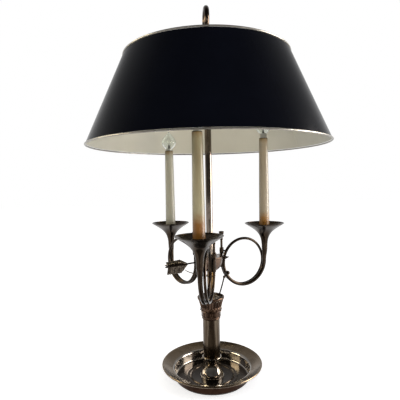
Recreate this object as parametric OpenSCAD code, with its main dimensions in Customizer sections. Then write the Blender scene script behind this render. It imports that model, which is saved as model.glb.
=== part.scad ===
// Bouillotte lamp: a dished foot, a round column with a quiver capital, three coiled
// hunting horns carrying electric candles, and a tapered metal shade that slides and
// turns on a round post under a ring finial.
// +Z is up, the lamp's axis is X = Y = 0, and Z = 0 is the table. Millimetres.

/* [Dish] */
// Outside diameter of the dish over its rolled rim
dish_d = 196; // [180:1:230]
// Height of the top of the rim above the table
rim_z = 31; // [28:0.5:45]
// Outside diameter of the dish wall
dish_wall_d = 147; // [130:1:155]
// Drop of the sloping flange from the rim to the wall
flange_drop = 5; // [2:0.5:8]
// Thickness of the spun sheet
sheet_t = 1.4; // [1:0.1:2]
// Diameter of the rolled bead round the rim
rim_bead_d = 3.6; // [2.8:0.1:4.5]
// Radius of the bend between the floor and the wall
floor_bend_r = 3; // [2.5:0.5:8]
// Radius of the bend between the wall and the flange
shoulder_bend_r = 5; // [3:0.5:6]
// Radius of the inner ridge pressed in the floor
inner_ridge_r = 41.5; // [34:0.5:44]
// Radius of the outer ridge pressed in the floor
outer_ridge_r = 49; // [47:0.5:54]
// Height of the inner ridge
inner_ridge_h = 1.8; // [1:0.1:2.4]
// Height of the outer ridge
outer_ridge_h = 1; // [0.5:0.1:1.6]
// Half width of a ridge at its foot
ridge_half_w = 2; // [1.4:0.1:2.4]
// Radius of the flat top of the raised boss under the foot
boss_r = 12; // [11:0.5:13]
// Height of the raised boss above the floor
boss_h = 9.2; // [8:0.1:11]
// Thickness of the felt under the dish
felt_t = 1.5; // [1:0.1:3]
// Diameter of the felt
felt_d = 138; // [100:1:138]

/* [Lamp pipe] */
// Outside diameter of the threaded lamp pipe
pipe_d = 9.5; // [9:0.1:10]
// Bore of the lamp pipe
pipe_bore_d = 6.8; // [6:0.1:7.2]
// Clearance round the pipe, all round
pipe_clearance = 0.1; // [0.05:0.05:0.3]
// Length of pipe below the lock nut
pipe_tail = 1.6; // [0.6:0.1:2]
// Length of pipe inside the post
pipe_top_engagement = 16; // [10:1:25]
// Thickness of the lock nut
nut_t = 4; // [3:0.1:4.6]
// Width across flats of the lock nut
nut_af = 15.9; // [14:0.1:17]
// Thickness of the washer
washer_t = 1.2; // [0.8:0.1:1.6]
// Diameter of the washer
washer_d = 20; // [17:0.5:21]
// Diameter of the wire hole in the side of the pipe
wire_hole_d = 5; // [4:0.1:5.6]

/* [Foot and column] */
// Diameter of the flange of the bell foot
foot_d = 47; // [43:0.5:54]
// Height of the bell foot
foot_h = 34; // [30:0.5:50]
// Diameter of the neck of the bell foot
foot_neck_d = 28.4; // [26:0.2:32]
// Thickness of the flange of the bell foot
foot_flange_t = 2; // [1.5:0.1:3]
// Diameter of the saucer collar
collar_d = 37.4; // [36.8:0.1:44]
// Height of the column seat above the bell foot
collar_seat_h = 3; // [2:0.1:5]
// Height of the collar's lip above the column seat
collar_lip_h = 1.6; // [0.8:0.1:3]
// Diameter of the column
column_d = 33.4; // [30:0.1:34]
// Length of the column
column_h = 77; // [50:1:120]
// Wall of the column tube
column_wall = 1.6; // [1.2:0.1:2.4]
// Bore of the cord bushing
cord_bore_d = 6.4; // [6:0.1:7]
// Wall of the cord bushing
cord_bush_wall = 1.3; // [1:0.1:1.6]
// Length of the cord bushing
cord_bush_l = 9; // [8:0.5:12]
// Height of the cord bushing's inner end above the dish floor
cord_bush_rise = 13; // [9:0.5:14]
// Upward tilt of the cord bushing, square to the flare and clear of the dish's rim
cord_bush_tilt = 16; // [14:1:20]

/* [Quiver] */
// Height of the quiver
quiver_h = 44; // [36:0.5:60]
// Diameter of the quiver's mouth
quiver_mouth_d = 52.8; // [46:0.2:60]
// Diameter of the quiver at the upper leaf ring
quiver_waist_d = 40; // [37:0.2:42]
// Height of the upper leaf ring above the column
leaf_ring_h = 16.5; // [14:0.5:20]
// Diameter over the upper leaf tips
leaf_tip_d = 44.6; // [42:0.2:50]
// Diameter over the lower leaf tips
lower_tip_d = 37.6; // [37:0.2:42]
// Number of upper leaves
leaf_count = 12; // [8:1:16]
// Number of lower leaves
lower_leaf_count = 8; // [6:1:12]
// Number of flutes
flute_count = 24; // [8:1:26]
// Radius of a flute
flute_r = 1.4; // [0.8:0.1:2]
// Wall of the quiver
quiver_wall = 2.4; // [2:0.1:3]
// Thickness of the quiver's floor
quiver_floor_t = 5; // [4:0.5:8]
// Depth of the spigot in the column
quiver_spigot_l = 6; // [4:0.5:12]
// Depth of the bundle of arrows below the mouth
bundle_drop = 3.2; // [2:0.1:6]
// Thickness of the plate that closes the quiver
bundle_t = 4; // [3:0.5:6]
// Number of arrow nocks in the outer ring of the bundle
nock_count = 11; // [8:1:12]
// Diameter of an arrow nock
nock_d = 6.4; // [5:0.1:6.6]
// Length of an arrow nock above the plate
nock_h = 2.4; // [1:0.1:4]

/* [Stem, hub and post] */
// Diameter of the stem
stem_d = 13; // [12:0.1:15]
// Length of the stem from the quiver's floor to the hub
stem_h = 88.3; // [80:0.1:120]
// Diameter of the small collar on the stem
stem_collar_d = 20.2; // [18:0.2:24]
// Thickness of the small collar on the stem
stem_collar_t = 2; // [1.4:0.1:3]
// Height of the small collar below the hub
stem_collar_drop = 10.3; // [8:0.1:20]
// Clearance of the small collar on the stem, all round
stem_collar_clearance = 0.05; // [0.03:0.01:0.1]
// Diameter of the hub
hub_d = 50; // [46:0.2:52]
// Height of the hub
hub_h = 31.6; // [28:0.2:36]
// Thickness of the hub's top plate at its edge
hub_plate_t = 3; // [2:0.1:4]
// Diameter of the post
post_d = 13; // [12:0.1:14]
// Length of post above the top of the shade
post_above_shade = 38.5; // [20:0.1:60]
// Diameter of the finial's stud
finial_stud_d = 6; // [5:0.1:7]
// Length of the finial's stud
finial_stud_l = 11; // [8:0.5:16]
// Clearance of the finial's stud, all round
finial_stud_clearance = 0.1; // [0.05:0.05:0.2]
// Diameter of the finial's base
finial_base_d = 17; // [15:0.5:22]
// Height of the finial's base
finial_base_h = 4; // [3:0.5:8]
// Height of the ring's bottom above the finial's base
finial_neck_h = 4.5; // [3:0.5:8]
// Outside diameter of the finial ring
finial_ring_d = 50; // [40:0.5:60]
// Thickness of the finial ring
finial_ring_t = 10; // [6:0.2:11]
// Turn of the finial ring about the post
finial_turn = 4; // [-90:1:90]

/* [Horns] */
// Turn of the front horn about the lamp's axis
front_horn_turn = -9.5; // [-20:0.5:10]
// Turn of the right horn about the lamp's axis
right_horn_turn = 114; // [105:0.5:125]
// Turn of the left horn about the lamp's axis
left_horn_turn = -139.5; // [-145:0.5:-125]
// Distance from the lamp's axis to the coil's centre
coil_reach = 78.5; // [78:0.1:84]
// Radius of the coil's centre line
coil_r = 46.8; // [40:0.1:47]
// Height of the coil's centre above the bottom of the hub
coil_rise = 10.9; // [4:0.1:14]
// Sideways step of one turn of the coil
coil_pitch = 7.8; // [7.7:0.1:9]
// Sideways offset of the bell from the horn's own plane
bell_offset = 0.3; // [-1:0.1:1]
// Radius of the tube at the mouthpiece
coil_start_r = 2.4; // [2:0.1:2.5]
// Radius of the tube where the coil ends
coil_end_r = 4.2; // [3.6:0.1:4.3]
// Distance that the bell's axis leans outwards from the coil's end
bell_lean = 1.5; // [0:0.1:3]
// Height of the bell's rim above the coil's centre
bell_lift = 75.8; // [70:0.2:90]
// Depth of the bell from its rim to its neck
bell_depth = 55; // [50:0.5:60]
// Radius of the bell's rim
bell_r = 40.3; // [36:0.1:44]
// Radius of the bell's neck
bell_neck_r = 5.7; // [5.4:0.1:6]
// Depth over which the bell flares
flare_depth = 15.8; // [14.5:0.1:17]
// Sharpness of the bell's flare
flare_power = 1.4; // [1.3:0.05:1.5]
// Wall of the bell
bell_wall = 1.2; // [0.9:0.1:1.4]
// Diameter of the rolled bead at the bell's rim
bell_bead_d = 2; // [1.6:0.1:2.6]
// Height of the top of the mouthpipe above the coil's centre
mouthpipe_h = 46.8; // [36:0.2:60]
// Height of the mouthpiece
mouthpiece_h = 17; // [14:0.5:20]
// Radius of the mouthpiece's rim
mouthpiece_r = 5.2; // [4.4:0.1:5.6]
// Height of a horn bracket
bracket_h = 26; // [20:0.5:30]
// Width of a horn bracket
bracket_w = 14; // [12:0.5:16]
// Gap between a bracket and the horn tube
bracket_gap = 0.15; // [0.1:0.05:0.3]

/* [Candles] */
// Depth of the candle cup's floor below the bell's rim
cup_drop = 21; // [20:0.1:22]
// Thickness of the cup's floor
cup_floor_t = 1.5; // [1:0.1:2.5]
// Height of the cup's wall above its floor
cup_wall_h = 6; // [4:0.5:8]
// Wall of the cup
cup_wall = 0.9; // [0.7:0.1:1]
// Radius of the cup's stud
cup_stud_r = 3.5; // [3:0.1:3.8]
// Length of the cup's stud in the bell's neck
cup_stud_l = 20; // [14:0.5:24]
// Length of the front candle sleeve
sleeve_h = 186.5; // [120:0.5:220]
// How much shorter the left candle sleeve is
left_sleeve_less = 11; // [0:0.5:14]
// How much longer the right candle sleeve is
right_sleeve_more = 7.5; // [0:0.5:10]
// Radius of a candle sleeve at the bottom
sleeve_bottom_r = 10.8; // [10.4:0.1:11]
// Radius of a candle sleeve at the top
sleeve_top_r = 8.9; // [8.7:0.1:9.4]
// Wall of a candle sleeve
sleeve_wall = 0.9; // [0.7:0.1:1]
// Clearance of the sleeve in its cup, all round
sleeve_clearance = 0.15; // [0.05:0.05:0.2]
// Radius of the threaded riser
riser_r = 3.2; // [2.6:0.1:3.4]
// Length of a lamp socket below the top of its sleeve
socket_h = 36; // [30:0.5:50]
// Radius of a lamp socket
socket_r = 7.6; // [7.4:0.05:7.7]
// Wall of a lamp socket
socket_wall = 0.6; // [0.5:0.05:0.6]
// Thickness of the drip ring on top of the sleeve
drip_ring_t = 1.2; // [0.8:0.1:2]
// Height of the bulb's cap above its socket
cap_stand = 4; // [0:0.5:8]
// Height of the right bulb's cap above its socket
right_cap_stand = 9; // [0:0.5:9]
// Clearance of the bulb's cap in the socket, all round
cap_clearance = 0.1; // [0.05:0.05:0.2]
// Length of the bulb's cap
cap_h = 18; // [14:0.5:20]
// Length of the bulb's glass
bulb_h = 38; // [30:0.5:44]
// Radius of the bulb's belly
bulb_r = 15.5; // [12:0.1:17.5]
// Radius of the glass where it enters the cap
bulb_neck_r = 6.2; // [5:0.1:6.6]
// Thickness of the glass
glass_t = 0.8; // [0.6:0.1:1.2]

/* [Arrow, bow and rod] */
// Slope of the arrow, rising towards the hub
arrow_slope = 8.5; // [5:0.1:12]
// Height of the arrow's crossing with the lamp's axis above the hub's bottom
arrow_rise = 21.6; // [20:0.1:24]
// Distance from the lamp's axis to the arrow's tail
arrow_tail = 89; // [70:0.5:110]
// Radius of the arrow's shaft
arrow_r = 1.5; // [1.2:0.1:2]
// Depth of the arrow's sockets in the hub
arrow_socket = 6; // [4:0.5:10]
// Length of a feather along the shaft
feather_l = 43; // [30:0.5:50]
// Height of a feather
feather_h = 15.5; // [8:0.1:17]
// Thickness of a feather
feather_t = 1.4; // [1:0.1:2]
// Length of the arrow's head
head_l = 12; // [8:0.5:13]
// Radius of the arrow's head
head_r = 3.4; // [2.5:0.1:4]
// Reach of the bow limb from the lamp's axis
bow_reach = 48.8; // [40:0.2:60]
// Rise of the bow limb's tip above the small collar
bow_tip_rise = 13.3; // [10:0.1:22]
// Radius of the bow limb
bow_r = 1.1; // [0.9:0.1:1.6]
// Radius of the slender rod in the quiver
rod_r = 1.5; // [1.2:0.1:1.8]
// Height of the rod's ball above the quiver's mouth
rod_ball_rise = 35; // [30:0.5:40]
// Height of the rod's knob above its ball
rod_knob_rise = 8.5; // [7:0.5:12]
// Diameter of the rod's ball
rod_ball_d = 5.6; // [4:0.2:6]
// Diameter of the rod's knob
rod_knob_d = 8.4; // [5:0.2:9]

/* [Shade] */
// Diameter of the shade's lower edge
shade_bottom_d = 457.2; // [440:1:480]
// Diameter of the shade's upper edge
shade_top_d = 311; // [300:0.5:340]
// Upright height of the shade
shade_h = 167.6; // [150:0.5:190]
// Depth that the shade's lower edge hangs below the tops of the candles
shade_overlap = 11; // [-20:0.5:30]
// Thickness of the shade's sheet
shade_t = 0.7; // [0.6:0.1:1.2]
// Diameter of the wire rolled in the shade's edges
shade_bead_d = 4; // [3:0.1:5]
// Drop of the spider below the shade's upper edge
spider_drop = 10.6; // [9:0.2:16]
// Turn of the spider's first arm about the post
spider_turn = 30; // [0:1:120]
// Width of a spider arm
arm_w = 5; // [4:0.1:7]
// Thickness of a spider arm
arm_t = 2.5; // [2:0.1:3]
// Diameter of the spider's wire ring
spider_wire_d = 3.2; // [2.6:0.1:4]
// Diameter of the spider's hub
spider_hub_d = 24; // [20:0.5:28]
// Height of the spider's hub
spider_hub_h = 12; // [9:0.5:16]
// Clearance of the sliding parts on the post, all round
slide_clearance = 0.06; // [0.02:0.01:0.09]
// Diameter of the clamp collar
clamp_d = 22; // [20:0.5:28]
// Height of the clamp collar
clamp_h = 12; // [10:0.5:16]
// Radius of the clamp screw
clamp_screw_r = 2; // [1.8:0.1:2.5]
// Clearance of the clamp screw in the collar, all round
clamp_screw_clearance = 0.06; // [0.03:0.01:0.1]
// Length of the key's shank outside the collar
key_shank_l = 5; // [4:0.5:8]
// Length of the key's wing
key_wing_l = 12; // [10:0.5:16]
// Width of the key's wing
key_wing_w = 14; // [10:0.5:18]
// Thickness of the key's wing
key_wing_t = 2.6; // [2:0.1:4]

/* [Hidden] */
$fn = 96;

// Colours
dark_metal = [0.36, 0.33, 0.30];
pale_metal = [0.62, 0.58, 0.54];
black_enamel = [0.03, 0.03, 0.035];
candle_ivory = [0.82, 0.76, 0.62];

// Radii and heights that follow from the sizes above
dish_r = dish_d / 2;
rim_bead_r = rim_bead_d / 2;
wall_in_r = dish_wall_d / 2 - sheet_t;
floor_z = felt_t + sheet_t;
boss_z = floor_z + boss_h;
boss_foot_r = boss_r + 1.5;
flange_z = rim_z - rim_bead_d - flange_drop;
pipe_r = pipe_d / 2;
pipe_hole_r = pipe_r + pipe_clearance;
washer_z = boss_z - sheet_t - washer_t;
nut_z = washer_z - nut_t;
neck_z = floor_z + foot_h;
seat_z = neck_z + collar_seat_h;
capital_z = seat_z + column_h;
mouth_z = capital_z + quiver_h;
stem_z = capital_z + quiver_floor_t;
hub_z = stem_z + stem_h;
hub_top_z = hub_z + hub_h;
stem_collar_z = hub_z - stem_collar_drop;
bundle_z = mouth_z - bundle_drop;
waist_z = capital_z + leaf_ring_h;
quiver_lip_h = 3;
flute_start_h = 6;
quiver_spigot_clearance = 0.1;

coil_z = hub_z + coil_rise;
bell_rim_z = coil_z + bell_lift;
bell_neck_z = bell_rim_z - bell_depth;
bell_reach = coil_reach + coil_r + bell_lean;
mouthpipe_x = bell_offset + 1.5 * coil_pitch;
mouthpipe_z = coil_z + mouthpipe_h;
coil_steps = 60;
coil_sides = 12;
cup_z = bell_rim_z - cup_drop;
sleeve_z = cup_z + cup_floor_t;
candle_top_z = sleeve_z + sleeve_h;
cup_stud_clearance = 0.1;

shade_z = candle_top_z - shade_overlap;
shade_top_z = shade_z + shade_h;
spider_z = shade_top_z - spider_drop;
spider_hub_z = spider_z - arm_t / 2 - 3;
clamp_z = spider_hub_z - clamp_h;
post_top_z = shade_top_z + post_above_shade;
finial_base_z = post_top_z + finial_base_h;
finial_ring_z = finial_base_z + finial_neck_h + finial_ring_d / 2;
slide_hole_r = post_d / 2 + slide_clearance;
shade_slope = (shade_bottom_d - shade_top_d) / 2 / shade_h;
spider_wire_r = spider_wire_d / 2;
// Room between the wire ring and the shade's inner face
spider_wire_gap = 0.2;
spider_ring_r = shade_r(spider_z) - shade_t * sqrt(1 + pow(shade_slope, 2))
    - (spider_wire_r + spider_wire_gap) * sqrt(1 + pow(shade_slope, 2));

// Outside radius of the shade's sheet at height z
function shade_r(z) = shade_bottom_d / 2 - (z - shade_z) * shade_slope;

// Points of an arc in the plane of a profile
function arc(c, r, from, to, steps = 8) =
    [for (i = [0:steps]) let (a = from + (to - from) * i / steps) [c[0] + r * cos(a), c[1] + r * sin(a)]];

function unit(v) = v / norm(v);
function tangent(path, i) = unit(path[min(i + 1, len(path) - 1)] - path[max(i - 1, 0)]);
// One ring of a swept tube: its centre, direction and radius, and a reference direction
function ring_points(c, t, r, sides, ref) =
    let (b = unit(cross(t, ref)), a = cross(b, t))
    [for (k = [0:sides - 1]) c + r * (cos(360 * k / sides) * a + sin(360 * k / sides) * b)];

// A round tube along a path, with its own radius at each point
module swept_tube(path, radii, sides, ref) {
    last = len(path) - 1;
    points = [for (i = [0:last]) each ring_points(path[i], tangent(path, i), radii[i], sides, ref)];
    walls = [for (i = [0:last - 1]) for (k = [0:sides - 1])
        let (a = i * sides + k, b = i * sides + (k + 1) % sides)
        each [[a, a + sides, b + sides], [a, b + sides, b]]];
    start_cap = [for (k = [0:sides - 1]) k];
    end_cap = [for (k = [sides - 1:-1:0]) last * sides + k];
    polyhedron(points = points, faces = concat([start_cap], walls, [end_cap]), convexity = 6);
}

// A point of a cubic Bezier curve
function bezier(p, t) =
    pow(1 - t, 3) * p[0] + 3 * pow(1 - t, 2) * t * p[1] + 3 * (1 - t) * t * t * p[2] + pow(t, 3) * p[3];

// A plain ring or tube standing on height z
module tube(outer_r, inner_r, z, h) {
    translate([0, 0, z]) difference() {
        cylinder(r = outer_r, h = h);
        translate([0, 0, -1]) cylinder(r = inner_r, h = h + 2);
    }
}

// Puts a piece at the place of one horn: X is sideways, -Y is away from the lamp's axis
module at_horn(turn, reach = 0, side = 0) {
    rotate([0, 0, turn]) translate([side, -reach, 0]) children();
}

/* ---- Foot ---- */

module felt_pad() {
    color([0.12, 0.16, 0.12]) cylinder(d = felt_d, h = felt_t);
}

// The dish is one spun sheet: raised boss, ridged floor, wall, sloping flange and rolled rim
module dish() {
    bead_c = [dish_r - rim_bead_r, rim_z - rim_bead_r];
    bend_c = [wall_in_r + shoulder_bend_r + 0.8, flange_z - shoulder_bend_r];
    fillet_c = [wall_in_r - floor_bend_r, floor_z + floor_bend_r];
    upper = concat(
        [[pipe_hole_r, boss_z], [boss_r, boss_z], [boss_foot_r, floor_z]],
        ridge(inner_ridge_r, inner_ridge_h),
        ridge(outer_ridge_r, outer_ridge_h),
        arc(fillet_c, floor_bend_r, -90, 0),
        arc(bend_c, shoulder_bend_r, 180, 100));
    lower = concat(
        arc(bend_c, shoulder_bend_r - sheet_t, 100, 180),
        arc(fillet_c, floor_bend_r + sheet_t, 0, -90),
        [[boss_foot_r - sheet_t, felt_t], [boss_r - sheet_t, boss_z - sheet_t], [pipe_hole_r, boss_z - sheet_t]]);
    color(dark_metal) rotate_extrude()
        polygon(concat(upper, arc(bead_c, rim_bead_r, 150, -100, 14), lower));
}
function ridge(r, h) = [
    [r - ridge_half_w, floor_z],
    [r - ridge_half_w / 3, floor_z + h],
    [r + ridge_half_w / 3, floor_z + h],
    [r + ridge_half_w, floor_z]
];

module pipe_washer() {
    color(pale_metal) tube(washer_d / 2, pipe_hole_r, washer_z, washer_t);
}

module pipe_nut() {
    color(pale_metal) difference() {
        translate([0, 0, nut_z]) cylinder(d = nut_af / cos(30), h = nut_t, $fn = 6);
        translate([0, 0, nut_z - 1]) cylinder(r = pipe_hole_r, h = nut_t + 2);
    }
}

module lamp_pipe() {
    pipe_z = nut_z - pipe_tail;
    color(pale_metal) difference() {
        tube(pipe_r, pipe_bore_d / 2, pipe_z, hub_top_z + pipe_top_engagement - pipe_z);
        translate([0, 0, boss_z + wire_hole_d]) rotate([-90, 0, 0]) cylinder(d = wire_hole_d, h = pipe_d);
    }
}

// Outside of the bell foot: flange, flare and neck
module bell_foot() {
    foot_r = foot_d / 2;
    neck_r = foot_neck_d / 2;
    flare_z = floor_z + foot_flange_t;
    flare_steps = 10;
    flare_h = 0.8 * foot_h;
    flare_out = foot_r - 1 - neck_r;
    outside = concat(
        [[foot_r, floor_z], [foot_r, flare_z - 0.8], [foot_r - 0.8, flare_z]],
        [for (i = [0:flare_steps]) let (t = i / flare_steps)
            [neck_r + flare_out * (1 + cos(180 * pow(t, 0.8))) / 2, flare_z + flare_h * t]],
        [[neck_r, neck_z], [pipe_hole_r, neck_z]]);
    cavity_top_z = floor_z + 0.6 * foot_h;
    color(dark_metal) difference() {
        rotate_extrude() polygon(concat(outside, [
            [pipe_hole_r, cavity_top_z],
            [neck_r - 3, cavity_top_z],
            [boss_foot_r + 0.6, boss_z + 1],
            [boss_foot_r + 2.4, floor_z]]));
        bushing_hole(cord_bush_clearance);
    }
}
cord_bush_clearance = 0.1;
cord_bush_z = floor_z + cord_bush_rise;
cord_bush_y = boss_foot_r + 0.6;

// The bushing's own axis: +Z points out of the foot, and Z = 0 is its inner end
module on_bushing() {
    translate([0, cord_bush_y, cord_bush_z]) rotate([cord_bush_tilt - 90, 0, 0]) children();
}

module bushing_hole(clearance) {
    on_bushing() translate([0, 0, -3])
        cylinder(r = cord_bore_d / 2 + cord_bush_wall + clearance, h = cord_bush_l + 10);
}

module cord_bushing() {
    color([0.1, 0.1, 0.1]) on_bushing() difference() {
        cylinder(r = cord_bore_d / 2 + cord_bush_wall, h = cord_bush_l);
        translate([0, 0, -1]) cylinder(d = cord_bore_d, h = cord_bush_l + 2);
    }
}

/* ---- Column and quiver ---- */

column_seat_clearance = 0.15;

module collar() {
    lip_z = seat_z + collar_lip_h;
    collar_r = collar_d / 2;
    seat_r = column_d / 2 + column_seat_clearance;
    color(dark_metal) rotate_extrude() polygon([
        [pipe_hole_r, neck_z], [foot_neck_d / 2 + 0.6, neck_z], [collar_r, lip_z - 1.4],
        [collar_r, lip_z - 0.4], [collar_r - 0.5, lip_z], [collar_r - 1.2, lip_z],
        [seat_r + 0.4, seat_z], [pipe_hole_r, seat_z]]);
}

module column() {
    color(pale_metal) tube(column_d / 2, column_d / 2 - column_wall, seat_z, column_h);
}

// Flared quiver: two rings of turned-out leaf tips, flutes and a moulded lip
module quiver() {
    waist_r = quiver_waist_d / 2;
    mouth_r = quiver_mouth_d / 2;
    root_r = column_d / 2 + 0.2;
    spigot_r = column_d / 2 - column_wall - quiver_spigot_clearance;
    flute_z = waist_z + flute_start_h;
    flute_top_z = mouth_z - quiver_lip_h;
    flute_l = norm([mouth_r - waist_r, flute_top_z - flute_z]);
    flute_lean = atan2(mouth_r - waist_r, flute_top_z - flute_z);
    cavity_r = root_r - quiver_wall;
    color(dark_metal) difference() {
        union() {
            rotate_extrude() polygon([
                [pipe_hole_r, capital_z - quiver_spigot_l], [spigot_r, capital_z - quiver_spigot_l],
                [spigot_r, capital_z], [root_r, capital_z], [root_r + 0.8, capital_z + 4],
                [waist_r - 2, waist_z - 4], [waist_r, waist_z], [waist_r - 0.6, waist_z + 3.4],
                [waist_r, flute_z], [mouth_r - 0.8, flute_top_z], [mouth_r, flute_top_z + 0.6],
                [mouth_r, mouth_z - 0.8], [mouth_r - 0.8, mouth_z], [mouth_r - quiver_wall, mouth_z],
                [mouth_r - quiver_wall - 0.6, bundle_z - bundle_t - 0.1], [cavity_r, capital_z + quiver_floor_t + 8],
                [cavity_r, capital_z + quiver_floor_t], [pipe_hole_r, capital_z + quiver_floor_t]]);
            leaf_tips(leaf_tip_d / 2, waist_z, 2.3, leaf_count);
            leaf_tips(lower_tip_d / 2, capital_z + 3, 1.7, lower_leaf_count);
        }
        for (i = [0:flute_count - 1]) rotate([0, 0, (i + 0.5) * 360 / flute_count])
            translate([waist_r + 0.4 * flute_r, 0, flute_z]) rotate([0, flute_lean, 0])
                cylinder(r = flute_r, h = flute_l);
    }
}

// A ring of round leaf tips whose outsides lie on radius r
module leaf_tips(r, z, tip_r, count) {
    for (i = [0:count - 1]) rotate([0, 0, i * 360 / count])
        translate([r - tip_r, 0, z]) sphere(r = tip_r, $fn = 24);
}

bundle_clearance = 0.15;
// Distance of the nocks from the quiver's inner wall
nock_inset = 0.8;
// Radius of the quiver's inner wall at the underside of the bundle's plate
bundle_r = quiver_mouth_d / 2 - quiver_wall - 0.6;

// The bundle of arrows that fills the quiver's mouth: a plate with a ring of nocks
module arrow_bundle() {
    nock_ring_r = bundle_r - nock_inset - nock_d / 2;
    color([0.55, 0.53, 0.49]) difference() {
        union() {
            translate([0, 0, bundle_z - bundle_t]) cylinder(r = bundle_r - bundle_clearance, h = bundle_t);
            for (i = [0:nock_count - 1]) if (i != rod_nock)
                rotate([0, 0, i * 360 / nock_count]) translate([nock_ring_r, 0, bundle_z - 0.5])
                    cylinder(d = nock_d, h = nock_h + 0.5);
        }
        translate([0, 0, bundle_z - bundle_t - 1]) cylinder(r = stem_d / 2 + bundle_clearance, h = bundle_t + nock_h + 2);
    }
}
// The place in the ring that the slender rod takes
rod_nock = 1;

module stem() {
    color([0.50, 0.42, 0.30]) tube(stem_d / 2, pipe_hole_r, stem_z, stem_h);
}

module stem_collar() {
    collar_r = stem_collar_d / 2;
    inner_r = stem_d / 2 + stem_collar_clearance;
    color(dark_metal) translate([0, 0, stem_collar_z]) rotate_extrude() polygon([
        [inner_r, 0], [inner_r + 1, 0], [collar_r, stem_collar_t / 2],
        [collar_r - 0.3, stem_collar_t], [inner_r, stem_collar_t]]);
}

/* ---- Hub and post ---- */

// A bowl-shaped hub under a flat top plate, cross-drilled on both sides for the arrow
module hub() {
    hub_r = hub_d / 2;
    plate_z = hub_top_z - hub_plate_t - 1.6;
    bowl_h = plate_z - hub_z;
    bowl = [for (a = [15:15:90]) [stem_d / 2 + 1 + (hub_r - 2 - stem_d / 2) * sin(a), hub_z + 0.8 + (bowl_h - 1.6) * (1 - cos(a))]];
    color(dark_metal) difference() {
        rotate_extrude() polygon(concat(
            [[pipe_hole_r, hub_z], [stem_d / 2 + 1, hub_z]],
            bowl,
            [[hub_r - 0.6, plate_z], [hub_r, plate_z + 0.6], [hub_r, plate_z + hub_plate_t - 0.4],
             [hub_r - 0.6, plate_z + hub_plate_t], [post_d / 2 + 7.5, plate_z + hub_plate_t],
             [post_d / 2 + 2.5, hub_top_z], [pipe_hole_r, hub_top_z]]));
        on_arrow() for (end = [-1, 1]) scale([end, 1, 1])
            translate([hub_r - arrow_socket, 0, 0]) rotate([0, 90, 0])
                cylinder(r = arrow_r + arrow_clearance, h = 2 * arrow_socket);
    }
}
arrow_clearance = 0.1;

module post() {
    color(pale_metal) difference() {
        translate([0, 0, hub_top_z]) cylinder(d = post_d, h = post_top_z - hub_top_z);
        translate([0, 0, hub_top_z - 1]) cylinder(r = pipe_hole_r, h = pipe_top_engagement + 3);
        translate([0, 0, post_top_z - finial_stud_l - 1])
            cylinder(r = finial_stud_d / 2 + finial_stud_clearance, h = finial_stud_l + 2);
    }
}

module finial_base() {
    base_r = finial_base_d / 2;
    color(pale_metal) rotate_extrude() polygon([
        [0, post_top_z - finial_stud_l], [finial_stud_d / 2, post_top_z - finial_stud_l],
        [finial_stud_d / 2, post_top_z], [base_r - 1, post_top_z], [base_r, post_top_z + 1],
        [base_r - 1, post_top_z + 2], [finial_ring_t / 2 + 0.8, finial_base_z], [0, finial_base_z]]);
}

module finial_ring() {
    ring_tube_r = finial_ring_t / 2;
    color(pale_metal) rotate([0, 0, finial_turn]) union() {
        translate([0, 0, finial_ring_z]) rotate([0, 90, 0]) rotate_extrude()
            translate([finial_ring_d / 2 - ring_tube_r, 0]) circle(r = ring_tube_r, $fn = 48);
        translate([0, 0, finial_base_z]) cylinder(r = ring_tube_r, h = finial_neck_h + ring_tube_r);
    }
}

/* ---- Horns ---- */

// Tube radius along the coil, for t from 0 at the mouthpipe to 1 at the coil's end
function coil_tube_r(t) = coil_start_r + (coil_end_r - coil_start_r) * pow(t, 2.2);
// Centre line of the coil, one and a half turns from the inner side round to the outer side
function coil_point(t) = let (a = 180 + 540 * t)
    [bell_offset + 1.5 * coil_pitch * (1 - t), -(coil_reach + coil_r * cos(a)), coil_z + coil_r * sin(a)];

module horn_coil(turn) {
    rise_steps = 4;
    neck_rise = bell_neck_z - coil_z;
    inner_y = -(coil_reach - coil_r);
    pipe = [for (i = [0:rise_steps - 1]) [mouthpipe_x, inner_y, mouthpipe_z - mouthpipe_h * i / rise_steps]];
    coil = [for (i = [0:coil_steps]) coil_point(i / coil_steps)];
    rise = [for (i = [1:rise_steps]) let (t = i / rise_steps)
        [bell_offset, -(coil_reach + coil_r + bell_lean * t * t * (3 - 2 * t)), coil_z + neck_rise * t]];
    radii = concat(
        [for (p = pipe) coil_start_r],
        [for (i = [0:coil_steps]) coil_tube_r(i / coil_steps)],
        [for (i = [1:rise_steps]) coil_end_r + (bell_neck_r - coil_end_r) * pow(i / rise_steps, 1.6)]);
    color(dark_metal) at_horn(turn) swept_tube(concat(pipe, coil, rise), radii, coil_sides, [1, 0, 0]);
}

// Outside radius of the bell at depth d below its rim
function flare_r(d) = bell_neck_r + (bell_r - bell_neck_r) * exp(-pow(d / flare_depth, flare_power));

module horn_bell(turn) {
    steps = 22;
    open_depth = cup_drop + 1;
    bead_r = bell_bead_d / 2;
    outside = [for (i = [0:steps]) let (d = bell_depth * pow(1 - i / steps, 1.3)) [flare_r(d), bell_rim_z - d]];
    inside = [for (i = [0:14]) let (d = open_depth * i / 14) [flare_r(d) - bell_wall * sqrt(1 + 4 * exp(-d / 9)), bell_rim_z - d]];
    color(dark_metal) at_horn(turn, bell_reach, bell_offset) union() {
        rotate_extrude() polygon(concat(outside, inside, [
            [cup_stud_r + cup_stud_clearance, bell_rim_z - open_depth],
            [cup_stud_r + cup_stud_clearance, cup_z - cup_stud_l - 1],
            [0, cup_z - cup_stud_l - 1], [0, bell_neck_z]]));
        translate([0, 0, bell_rim_z - bead_r / 2]) rotate_extrude()
            translate([bell_r - bead_r / 2, 0]) circle(r = bead_r, $fn = 24);
    }
}

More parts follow.
